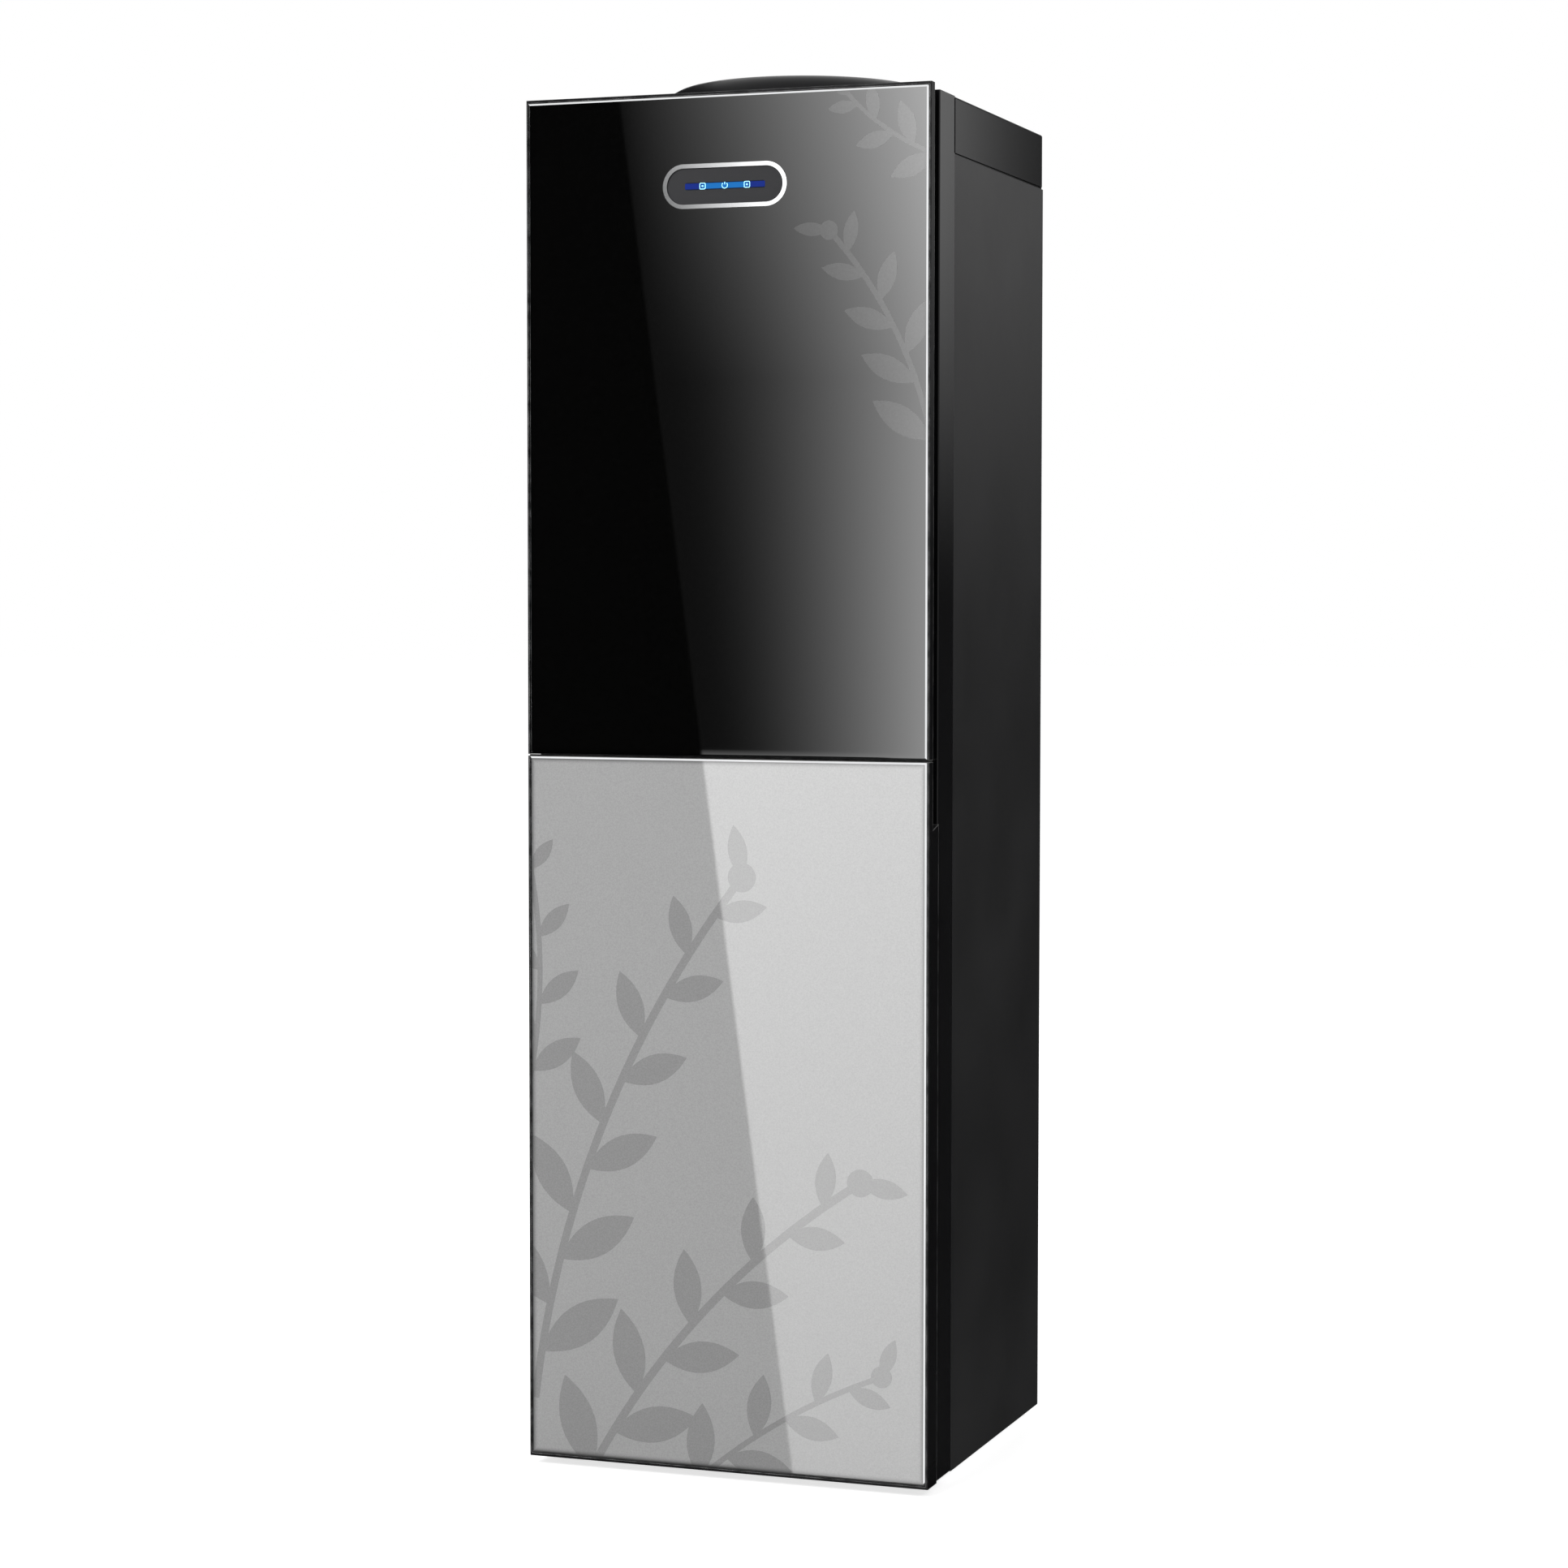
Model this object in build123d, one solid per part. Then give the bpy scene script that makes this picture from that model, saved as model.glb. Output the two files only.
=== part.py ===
from build123d import *
import os
from math import cos, radians, sin

# A floor-standing bottled-water dispenser with two glass-fronted doors.
# Millimetres, +Z up, front towards -Y; both doors open from the +X side.
# The origin lies on the floor, under the middle of the cabinet.

# Doors
door_width = 310.0
door_stack_height = 1000.0
lower_door_height = 521.5
door_gap = 1.2
door_thickness = 22.5
door_lip_side = 1.4
door_lip_end = 2.2
door_lip_setback = 0.8
door_edge_radius = 0.6
door_web = 1.5
door_rail = 20.0
hinge_stile = 22.0
latch_stile = 12.0
cover_ledge = 8.0
cover_thickness = 2.0
glass_thickness = 4.0
glass_bevel = 1.6
grip_depth = 7.0
grip_lip = 8.0
grip_radius = 5.0
grip_length = 45.0
grip_slope = 4.0
seal_width = 5.0
seal_margin = 2.0

# Indicator in the upper door
indicator_width = 94.8
indicator_height = 31.9
indicator_ring = 3.0
indicator_drop = 67.0
indicator_recess = 1.0
indicator_flange = 1.5
light_bar_width = 61.0
light_bar_height = 5.0
light_bar_depth = 6.2
light_bar_recess = 0.7
lamp_pitch = 17.0
lamp_size = 4.0
lamp_height = 1.0
board_thickness = 1.6
board_height = 18.0
board_post_radius = 3.0

# Hinges and catches
hinge_inset = 10.0
hinge_pin_radius = 2.5
hinge_pin_reach = 13.0
hinge_arm_half_width = 4.5
hinge_arm_sheet = 2.0
middle_arm_sheet = 1.5
hinge_arm_tail = 28.0
hinge_plate_height = 20.0
magnet_size = (12.0, 28.0)
magnet_inset = 14.0
strike_sheet = 1.0

# Casing
cabinet_depth = 295.0
foot_height = 6.0
foot_radius = 14.0
foot_plug_radius = 4.0
foot_barb = 1.5
foot_barb_height = 3.0
foot_edge_radius = 1.5
foot_side_inset = 33.0
front_foot_depth = 44.0
rear_foot_inset = 33.0
body_inset = 1.0
door_frame_gap = 1.5
frame_depth = 36.0
frame_wall = 3.0
frame_top_drop = 3.0
frame_hinge_edge_radius = 5.0
frame_latch_edge_radius = 1.0
sheet = 1.0
base_sheet = 1.2
base_flange = 15.0
panel_flange = 14.0
panel_bend_radius = 0.8
cap_height = 42.0
cap_wall = 3.0
cap_overhang = 0.4
cap_reveal_height = 1.6
cap_reveal_depth = 1.2
cap_rear_radius = 6.0
cap_edge_radius = 2.0
rear_recess = 26.0
deck_height = 186.0
shelf_flange = 12.0
back_screws_per_row = 4
vent_rows = 6
vent_columns = 2
vent_size = (60.0, 4.0)
vent_pitch = 12.0

# Bottle seat
collar_rim_radius = 86.5
collar_flank_radius = 24.5
collar_lip = 4.0
collar_wall = 3.0
funnel_depth = 38.0
seat_bore_radius = 29.5
seat_length = 30.0
seat_ledge = 4.0
cap_hole_radius = 72.0
spike_radius = 9.5
spike_height = 44.0
spike_tip = 12.0
spike_tip_radius = 3.0
spike_base = 3.0
spike_spoke = 4.0
spike_hole_radius = 2.5
spike_holes = 3

# Dispensing niche
niche_side_room = 28.0
niche_floor_rise = 13.3
niche_rear_room = 120.5
niche_wall = 2.5
tap_spread = 90.0
tap_axis_drop = 43.0
tap_reach = 48.0
tap_shank_radius = 8.0
tap_shank_tail = 22.0
tap_nipple_radius = 5.0
tap_nipple_length = 12.0
tap_flange_radius = 14.0
tap_flange = 3.0
tap_body_radius = 12.0
tap_body_rise = 22.0
tap_body_fall = 14.0
spout_length = 26.0
spout_radius = 7.0
water_bore_radius = 4.0
lever_pin_radius = 2.0
lever_pin_rise = 9.0
lever_hub_radius = 5.0
lever_hub_width = 12.0
lever_ear = 3.0
lever_sheet = 5.0
lever_width = 20.0
lever_reach = 44.0
lever_neck_reach = 14.0
lever_edge_radius = 1.5
lock_width = 8.0
lock_length = 11.0
lock_travel = 5.0
lock_recess = 2.0
lock_height = 4.5
lock_inset = 6.0
tray_width = 170.0
tray_front_gap = 20.5
tray_height = 26.0
tray_wall = 2.0
tray_corner = 12.0
tray_back_gap = 8.0
grille_thickness = 3.5
grille_slots = 11
grille_slot_width = 5.0
grille_slot_pitch = 13.0
grille_rim = 9.0

# Storage cabinet
cabinet_ceiling_drop = 27.5
liner_rear_gap = 13.0
liner_wall = 2.5
rib_width = 6.0
rib_height = 4.0
rack_height = 145.0
rack_frame_radius = 2.5
rack_rod_radius = 1.5
rack_rods = 13

# Water system
tank_room = 182.0
tank_shelf_gap = 9.5
cold_tank_radius = 74.0
tank_wall = 1.0
tank_flange = 8.0
tank_flange_sheet = 1.5
tank_gasket = 4.0
insulation_floor = 24.0
insulation_wall = 14.0
insulation_drop = 8.0
insulation_gap = 0.4
nipple_length = 14.0
hose_wall = 2.0
hose_bend = 15.0
cold_outlet_offset = 31.0
feed_outlet_offset = (-50.0, 26.0)
hot_outlet_offset = -5.0
hot_tank_offset = -20.0
hot_tank_gap = 14.0
hot_tank_radius = 42.0
hot_tank_rise = 43.0
hot_tank_drop = 40.0
bracket_sheet = 1.5
bracket_width = 110.0
bracket_flange = 40.0
feed_inlet_rise = 18.0
feed_inlet_reach = 14.0
feed_hose_offset = 31.0
feed_hose_drops = (82.0, 37.0)
drain_inset = 35.0
drain_drop = 40.0
drain_flange_radius = 14.0
drain_flange = 2.0
drain_thread_radius = 8.0
drain_thread = 12.0
drain_cap_wall = 2.5
drain_cap_ribs = 12
drain_rib_radius = 1.0

# Cooling system
coil_tube_radius = 3.0
coil_pitch = 9.0
coil_turns = 7.5
coil_lead = 62.0
coil_rise = 16.0
compressor_offset = 15.0
compressor_rear_room = 103.0
compressor_radius = 56.0
compressor_height = 140.0
compressor_dome = 26.0
compressor_seam = 3.0
compressor_foot_sheet = 3.0
compressor_foot_size = (144.0, 116.0)
compressor_foot_corner = 14.0
compressor_bolt_spread = (120.0, 92.0)
mount_radius = 11.0
mount_height = 13.0
mount_waist = 2.5
bolt_radius = 4.0
stub_length = 14.0
suction_angle = 30.0
suction_rise = 100.0
discharge_angle = 75.0
discharge_rise = 75.0
line_radius = 3.0
line_bend = 8.0
relay_box_size = (30.0, 50.0, 46.0)
relay_box_rise = 40.0
relay_box_edge = 3.0
condenser_standoff = 12.0
condenser_side_room = 58.0
condenser_rise = 48.0
condenser_drop = 171.0
condenser_runs = 13
condenser_tube_radius = 2.5
condenser_riser_offset = 15.0
condenser_riser_drop = 42.0
condenser_outlet_drop = 14.0
condenser_wire_radius = 0.8
condenser_wires_per_face = 21
condenser_wire_margin = 10.0
condenser_bracket_size = (14.0, 18.0)
drier_radius = 9.0
drier_length = 80.0
drier_neck = 12.0
drier_inset = 13.0
suction_riser_inset = (12.0, 18.0)
capillary_riser_inset = (5.0, 13.0)
capillary_radius = 1.2
capillary_drop = 18.0

# Electrics at the back
switch_spread = 44.0
switch_inset = 57.0
switch_drop = 81.0
switch_size = (20.0, 30.0)
switch_flange = 2.0
switch_body = 14.0
switch_rim = 2.5
rocker_width = 10.0
rocker_half_height = 8.4
rocker_rise = 4.5
rocker_valley = 3.2
rocker_fall = 2.0
rocker_tilt = 9.0
rocker_pivot_sink = 4.0
rocker_clear = 1.0
trunnion_radius = 1.2
trunnion_reach = 1.2
control_side_room = 58.0
control_drop = 131.0
control_size = (76.0, 96.0)
control_standoff = 8.0
control_standoff_radius = 3.0
control_inset = 7.0
control_relay = (22.0, 16.0, 28.0)
control_transformer = (34.0, 26.0, 30.0)
gland_rise = 22.0
gland_bore_radius = 3.7
gland_wall = 3.0
gland_flange_radius = 10.0
gland_flange = 3.0
gland_nose = 12.0
gland_tail = 8.0

# Screws
screw_radius = 1.6
screw_head_radius = 3.0
screw_head_height = 1.6
screw_length = 7.0
pan_head_radius = 4.0
pan_head_height = 2.4

# Clearances
running = 0.05
slip = 0.2
apart = 0.3
past = 1.0

# Planes from front to back
half_width = door_width / 2
glass_front = -cabinet_depth / 2
glass_back = glass_front + glass_thickness
lip_front = glass_front + door_lip_setback
web_back = glass_back + door_web
door_back = glass_front + door_thickness
cover_front = door_back - cover_thickness
frame_front = door_back + door_frame_gap
frame_inner = frame_front + frame_wall
frame_back = frame_front + frame_depth
casing_rear = cabinet_depth / 2
side_rear = casing_rear - cap_overhang
panel_rear = casing_rear - rear_recess
panel_front = panel_rear - sheet
niche_back = panel_front - niche_rear_room
niche_outer_back = niche_back + niche_wall
liner_back = panel_front - liner_rear_gap

# Heights
base_bottom = foot_height
base_top = base_bottom + base_sheet
lower_door_top = base_bottom + lower_door_height
upper_door_bottom = lower_door_top + door_gap
door_top = base_bottom + door_stack_height
body_top = door_top - frame_top_drop
cap_bottom = body_top - cap_height
cap_underside = body_top - cap_wall
deck_top = base_bottom + deck_height
gland_z = deck_top + gland_rise
cabinet_floor = deck_top + liner_wall
cabinet_ceiling = lower_door_top - cabinet_ceiling_drop
niche_floor = upper_door_bottom + niche_floor_rise
tank_shelf_top = body_top - tank_room
niche_ceiling = tank_shelf_top - sheet - tank_shelf_gap - niche_wall
tap_z = niche_ceiling - tap_axis_drop
tank_floor = tank_shelf_top + insulation_floor
tank_rim = cap_underside - tank_gasket
hot_tank_floor = niche_floor + hot_tank_rise
hot_tank_roof = tap_z - hot_tank_drop

# Widths
body_half = half_width - body_inset
panel_inner = body_half - sheet
niche_half = panel_inner - niche_side_room
condenser_half_width = panel_inner - condenser_side_room
drain_x = drain_inset - panel_inner

# Hinge axis, shared by both doors
hinge_x = -half_width + hinge_inset
hinge_y = door_back - hinge_inset
hinge_arm_split = (lower_door_top + upper_door_bottom) / 2
pin_bore_radius = hinge_pin_radius + running
pin_spans = [
    (body_top - hinge_pin_reach, body_top + hinge_arm_sheet),
    (hinge_arm_split - hinge_pin_reach, hinge_arm_split + hinge_pin_reach),
    (base_top, base_top + hinge_arm_sheet + hinge_pin_reach),
]

CENTRE = (Align.CENTER, Align.CENTER, Align.CENTER)
FROM_BASE = (Align.CENTER, Align.CENTER, Align.MIN)
FROM_TOP = (Align.CENTER, Align.CENTER, Align.MAX)


def depth(distance):
    """The y of a plane at this distance behind the glass front."""
    return glass_front + distance


def block(x, y, z):
    """A box between (low, high) limits on each axis."""
    limits = (x, y, z)
    middle = [(low + high) / 2 for low, high in limits]
    size = [high - low for low, high in limits]
    return Pos(*middle) * Box(*size, align=CENTRE)


def around(centre, size):
    """The (low, high) limits of a length centred on a place."""
    return (centre - size / 2, centre + size / 2)


def rod(start, end, radius):
    """A round bar between two points."""
    run = Vector(*end) - Vector(*start)
    return Plane(origin=start, z_dir=run) * Cylinder(radius, run.length, align=FROM_BASE)


def sleeve(start, end, outer, inner):
    """A round bar with a bore along it."""
    return rod(start, end, outer) - rod(start, end, inner)


def upright(x, y, low, high, radius):
    """A round bar standing on a place of the plan."""
    return rod((x, y, low), (x, y, high), radius)


def across(x, z, front, back, radius):
    """A round bar running from front to back."""
    return rod((x, front, z), (x, back, z), radius)


def corner_edge(shape, x_sign, y_sign):
    """The upright edge of a block that lies furthest towards one corner of the plan."""
    reach = lambda edge: x_sign * edge.center().X + y_sign * edge.center().Y
    return shape.edges().filter_by(Axis.Z).sort_by(reach)[-1]


def pill(width, height, z, front, back):
    """A flat piece with round ends, facing the front."""
    place = Plane(origin=(0, front, z), x_dir=(1, 0, 0), z_dir=(0, 1, 0))
    return extrude(place * SlotOverall(width, height), back - front)


def turned(profile, x, y):
    """A piece turned about an upright axis from its (radius, height) outline."""
    face = make_face(Plane.XZ * Polyline(*profile, close=True))
    return Pos(x, y, 0) * revolve(face, Axis.Z)


def bent_tube(points, bend, radius, bore=None):
    """A tube along straight runs joined by round bends."""
    path = FilletPolyline(*points, radius=bend)
    section = Circle(radius) if bore is None else Circle(radius) - Circle(bore)
    return sweep(Plane(origin=path @ 0, z_dir=path % 0) * section, path=path)


def countersunk_screw(place, out, grow=0.0):
    """A flush screw whose head faces along out; grown, it is the hole for one."""
    head = Cone(screw_radius + grow, screw_head_radius + grow, screw_head_height, align=FROM_TOP)
    shank = Cylinder(screw_radius + grow, screw_length + grow, align=FROM_TOP)
    return Plane(origin=place, z_dir=out) * (head + shank)


def pan_screw(place, out):
    """A screw whose round head stands on the surface at place."""
    head = Cylinder(pan_head_radius, pan_head_height, align=FROM_BASE)
    head = fillet(head.faces().sort_by(Axis.Z)[-1].edges(), screw_radius / 2)
    shank = Cylinder(screw_radius, screw_length, align=FROM_TOP)
    return Plane(origin=place, z_dir=out) * (head + shank)


def group(pieces):
    """Separate solids kept together as one node."""
    return Compound(children=[solid for piece in pieces for solid in piece.solids()])


def spaced(centre, span, count):
    """Evenly spaced places over a span."""
    return [centre + span * (index / (count - 1) - 1 / 2) for index in range(count)]


# Doors: a moulded frame, a bevelled pane in front, a flush cover behind.
# The panes run out to the seam between the doors, so no lip stands there.
seam_lip = 0


def glass_limits(low, high, lip_low, lip_high, gap):
    """Width and height limits of the pane, or of its pocket when the gap is zero."""
    wide = half_width - door_lip_side - gap
    return (-wide, wide), (low + lip_low + gap, high - lip_high - gap)


def cavity_limits(low, high, grow):
    """Width and height limits of the hollow behind the glass, grown over the ledge."""
    wide = (-half_width + hinge_stile - grow, half_width - grip_depth - latch_stile + grow)
    return wide, (low + door_rail - grow, high - door_rail + grow)


def grip_cut(low, high, slope):
    """The finger channel behind the front lip of the opening edge."""
    outline = [(lip_front + grip_lip, high), (door_back + past, high)]
    outline += [(door_back + past, low), (lip_front + grip_lip, low - slope)]
    face = make_face(Plane.YZ * Polyline(*outline, close=True))
    cut = Pos(half_width - grip_depth, 0, 0) * extrude(face, grip_depth + past, dir=(1, 0, 0))
    inner = cut.edges().filter_by(Axis.Z).sort_by(lambda edge: edge.center().X + edge.center().Y)[0]
    return fillet(inner, grip_radius)


def door_frame(low, high, lip_low, lip_high, grip):
    """The moulded frame of one door, rounded about the hinge axis."""
    frame = block((-half_width, half_width), (lip_front, door_back), (low, high))
    frame = fillet(corner_edge(frame, -1, 1), hinge_inset)
    frame = fillet(frame.faces().sort_by(Axis.Y)[0].edges(), door_edge_radius)
    wide, tall = glass_limits(low, high, lip_low, lip_high, 0)
    frame -= block(wide, (glass_front, glass_back), tall)
    wide, tall = cavity_limits(low, high, 0)
    frame -= block(wide, (web_back, door_back), tall)
    wide, tall = cavity_limits(low, high, cover_ledge)
    frame -= block(wide, (cover_front, door_back), tall)
    for pin_low, pin_high in pin_spans:
        frame -= upright(hinge_x, hinge_y, pin_low - apart, pin_high + apart, pin_bore_radius)
    return frame - grip


def hinge_notch(low, high):
    """Room for a hinge arm in the end of a door."""
    wide = (-half_width - past, hinge_x + hinge_arm_half_width + past)
    return block(wide, (web_back, door_back + past), (low, high))


def middle_hinge_notch():
    """Room for the arm between the doors, which is thicker than the seam."""
    return hinge_notch(*around(hinge_arm_split, middle_arm_sheet + 2 * apart))


def upper_door_frame():
    """The upper frame, with its hinge notches and the indicator window."""
    grip = grip_cut(upper_door_bottom - past, door_top + past, 0)
    frame = door_frame(upper_door_bottom, door_top, seam_lip, door_lip_end, grip)
    frame -= hinge_notch(body_top - apart, door_top + past)
    frame -= middle_hinge_notch()
    window = (indicator_width + 2 * slip, indicator_height + 2 * slip)
    return frame - pill(*window, indicator_z, glass_back, web_back)


def lower_door_frame():
    """The lower frame, with its hinge notches and a short grip."""
    grip = grip_cut(lower_door_top - grip_length, lower_door_top + past, grip_slope)
    frame = door_frame(base_bottom, lower_door_top, door_lip_end, seam_lip, grip)
    frame -= middle_hinge_notch()
    return frame - hinge_notch(base_bottom - past, base_top + hinge_arm_sheet + apart)


def door_glass(low, high, lip_low, lip_high):
    """A pane with a polished bevel all round its front."""
    wide, tall = glass_limits(low, high, lip_low, lip_high, slip)
    pane = block(wide, (glass_front, glass_back), tall)
    return chamfer(pane.faces().sort_by(Axis.Y)[0].edges(), glass_bevel)


def upper_glass():
    """The upper pane, cut out round the indicator."""
    pane = door_glass(upper_door_bottom, door_top, seam_lip, door_lip_end)
    window = (indicator_width + 2 * slip, indicator_height + 2 * slip)
    return pane - pill(*window, indicator_z, glass_front - past, glass_back + past)


def strike_limits(z):
    """Limits of the steel strike let into the back of a door, facing its magnet."""
    right = cavity_limits(0, 0, cover_ledge)[0][1] - slip
    return (right - magnet_size[0], right), (door_back - strike_sheet, door_back), around(z, magnet_size[1])


def door_cover(low, high, strike_z):
    """The flush inner cover of a door."""
    wide, tall = cavity_limits(low, high, cover_ledge - slip)
    cover = block(wide, (cover_front, door_back), tall)
    return cover - block(*strike_limits(strike_z))


def lower_door_seal():
    """A flat rubber seal round the storage opening, on the door."""
    inner = niche_half + seal_margin
    outer = inner + seal_width
    span = (door_back, frame_front - apart)
    low = cabinet_floor - seal_margin
    high = cabinet_ceiling + seal_margin
    ring = block((-outer, outer), span, (low - seal_width, high + seal_width))
    return ring - block((-inner, inner), span, (low, high))


# Indicator: a silver ring, a dark plate, a light bar and its circuit board.

indicator_z = door_top - indicator_drop
plate_width = indicator_width - 2 * indicator_ring
plate_height = indicator_height - 2 * indicator_ring
light_bar_front = glass_front + light_bar_recess
light_bar_back = light_bar_front + light_bar_depth
board_front = light_bar_back + lamp_height


def indicator_ring_piece():
    """The flat silver ring let into the glass."""
    ring = pill(indicator_width, indicator_height, indicator_z, glass_front, glass_back)
    return ring - pill(plate_width, plate_height, indicator_z, glass_front, glass_back)


def light_bar_block(grow, front, back):
    """The outline of the light bar, grown for its slot."""
    wide = around(0, light_bar_width + 2 * grow)
    tall = around(indicator_z, light_bar_height + 2 * grow)
    bar = block(wide, (front, back), tall)
    return fillet(bar.edges().filter_by(Axis.Y), light_bar_height / 4)


def indicator_plate():
    """The dark plate inside the ring, with posts for the board."""
    front = glass_front + indicator_recess
    flange_back = glass_back + indicator_flange
    plate = pill(plate_width - 2 * slip, plate_height - 2 * slip, indicator_z, front, glass_back)
    plate += pill(indicator_width, indicator_height, indicator_z, glass_back, flange_back)
    for x in spaced(0, plate_width - board_height, 2):
        plate += across(x, indicator_z, flange_back, board_front, board_post_radius)
    return plate - light_bar_block(slip / 2, front, flange_back)


def indicator_board():
    """The board with one lamp behind each symbol."""
    sheet_limits = (board_front, board_front + board_thickness)
    board = block(around(0, plate_width), sheet_limits, around(indicator_z, board_height))
    lamps = [
        block(around(x, lamp_size), (light_bar_back, board_front), around(indicator_z, lamp_size))
        for x in spaced(0, 2 * lamp_pitch, 3)
    ]
    return board + lamps


# Hinges: three arms on the cabinet, one pin line for both doors.

def hinge_arm(low, high, tail):
    """A flat arm with a round nose about the hinge axis."""
    wide = (hinge_x - hinge_arm_half_width, hinge_x + hinge_arm_half_width)
    arm = block(wide, (hinge_y, tail), (low, high))
    arm += upright(hinge_x, hinge_y, low, high, hinge_arm_half_width)
    return arm - upright(hinge_x, hinge_y, low - past, high + past, hinge_pin_radius + running)


def arm_screw_places():
    """Depths of the two screws along a hinge arm's tail."""
    return spaced(frame_inner + hinge_arm_tail / 2, hinge_arm_tail / 2, 2)


def top_hinge_arm():
    """The arm on top of the front frame."""
    arm = hinge_arm(body_top, body_top + hinge_arm_sheet, frame_inner + hinge_arm_tail)
    for y in arm_screw_places():
        arm -= countersunk_screw((hinge_x, y, body_top + hinge_arm_sheet), (0, 0, 1), running)
    return arm


def bottom_hinge_arm():
    """The arm on the base plate."""
    arm = hinge_arm(base_top, base_top + hinge_arm_sheet, frame_inner + hinge_arm_tail)
    for y in arm_screw_places():
        arm -= countersunk_screw((hinge_x, y, base_top + hinge_arm_sheet), (0, 0, 1), running)
    return arm


def middle_hinge_arm():
    """The arm between the doors, with a plate inside the front frame."""
    low, high = around(hinge_arm_split, middle_arm_sheet)
    arm = hinge_arm(low, high, frame_inner + middle_arm_sheet)
    wide = (hinge_x - hinge_arm_half_width, hinge_x + hinge_plate_height - hinge_arm_half_width)
    tall = around(hinge_arm_split, hinge_plate_height)
    arm += block(wide, (frame_inner, frame_inner + middle_arm_sheet), tall)
    for place in middle_screw_places():
        arm -= countersunk_screw(place, (0, -1, 0), running)
    return arm


def middle_screw_places():
    """Places of the two screws of the middle hinge plate."""
    x = hinge_x + hinge_plate_height / 2
    return [(x, frame_front, z) for z in spaced(hinge_arm_split, hinge_plate_height / 2, 2)]


def hinge_screws():
    """The screws of the three hinge arms."""
    tops = (body_top + hinge_arm_sheet, base_top + hinge_arm_sheet)
    screws = [countersunk_screw((hinge_x, y, z), (0, 0, 1)) for z in tops for y in arm_screw_places()]
    screws += [countersunk_screw(place, (0, -1, 0)) for place in middle_screw_places()]
    return screws


def hinge_pins():
    """The three pins on the hinge axis."""
    return group(upright(hinge_x, hinge_y, low, high, hinge_pin_radius) for low, high in pin_spans)


# Casing

def base_plate():
    """The folded base plate that carries everything."""
    rear = side_rear - sheet
    plate = block((-panel_inner, panel_inner), (frame_inner, rear), (base_bottom, base_top))
    edge = (base_top, base_top + base_flange)
    inner = panel_inner - base_sheet
    for side in (-1, 1):
        wide = sorted((side * inner, side * panel_inner))
        plate += block(wide, (frame_back + sheet, rear), edge)
    plate += block((-inner, inner), (rear - base_sheet, rear), edge)
    for x, y in foot_places():
        plate -= upright(x, y, base_bottom, base_top, foot_plug_radius + slip)
    for y in arm_screw_places():
        plate -= upright(hinge_x, y, base_bottom, base_top, screw_radius + slip)
    return plate


def foot_places():
    """Plan places of the four feet."""
    depths = (depth(front_foot_depth), casing_rear - rear_foot_inset)
    return [(x, y) for x in spaced(0, 2 * (panel_inner - foot_side_inset), 2) for y in depths]


def feet():
    """Four rubber feet plugged into the base plate."""
    pad = Cylinder(foot_radius, foot_height, align=FROM_BASE)
    pad = fillet(pad.faces().sort_by(Axis.Z)[0].edges(), foot_edge_radius)
    neck = Cylinder(foot_plug_radius, base_top, align=FROM_BASE)
    barb = Cylinder(foot_plug_radius + foot_barb, foot_barb_height, align=FROM_BASE)
    foot = pad + neck + Pos(0, 0, base_top) * barb
    return group(Pos(x, y, 0) * foot for x, y in foot_places())


def side_panel(side):
    """A steel side with an inward flange at the front and at the rear."""
    def limits(inner, outer):
        return sorted((side * inner, side * outer))

    panel = block(limits(panel_inner, body_half), (frame_back, side_rear), (base_bottom, cap_bottom))
    tall = (base_top, cap_bottom)
    for front, back in ((frame_back, frame_back + sheet), (side_rear - sheet, side_rear)):
        panel += block(limits(panel_inner - panel_flange, panel_inner), (front, back), tall)
    outer = [corner_edge(panel, side, y_sign) for y_sign in (-1, 1)]
    return fillet(outer, panel_bend_radius)


def back_screw_places():
    """Places of the screws that hold the back panel to the deck and the tank shelf."""
    span = 2 * panel_inner - 2 * panel_flange - base_flange
    rows = [top + shelf_flange / 2 for top in (deck_top, tank_shelf_top)]
    return [(x, panel_rear, z) for z in rows for x in spaced(0, span, back_screws_per_row)]


def casing_screws():
    """The screws of the back panel and of the hinge arms."""
    return group([pan_screw(place, (0, 1, 0)) for place in back_screw_places()] + hinge_screws())


def back_panel():
    """The recessed back with openings for the switches, drain, gland and air."""
    low = deck_top - sheet
    panel = block((-panel_inner, panel_inner), (panel_front, panel_rear), (low, cap_bottom))
    for x, _, z in back_screw_places():
        panel -= across(x, z, panel_front, panel_rear, screw_radius + slip)
    for x in switch_places():
        wide = around(x, switch_size[0] - 2 * switch_rim + 2 * slip)
        tall = around(switch_z, switch_size[1] - 2 * switch_rim + 2 * slip)
        panel -= block(wide, (panel_front, panel_rear), tall)
    panel -= across(0, gland_z, panel_front, panel_rear, gland_bore_radius + gland_wall + slip)
    panel -= across(drain_x, drain_z, panel_front, panel_rear, tap_nipple_radius + slip)
    for column in spaced(0, niche_half, vent_columns):
        for row in range(vent_rows):
            z = hot_tank_roof + vent_pitch * row
            panel -= block(around(column, vent_size[0]), (panel_front, panel_rear), around(z, vent_size[1]))
    return panel


def inner_shelf(top, holes):
    """A steel shelf across the cabinet with an upturned rear flange."""
    wide = (-panel_inner, panel_inner)
    plate = block(wide, (frame_back + sheet, panel_front), (top - sheet, top))
    plate += block(wide, (panel_front - sheet, panel_front), (top, top + shelf_flange))
    for x, y, radius in holes:
        plate -= upright(x, y, top - sheet, top, radius)
    for x, _, z in back_screw_places():
        plate -= across(x, z, panel_front - sheet, panel_front, screw_radius + slip)
    return plate


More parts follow.
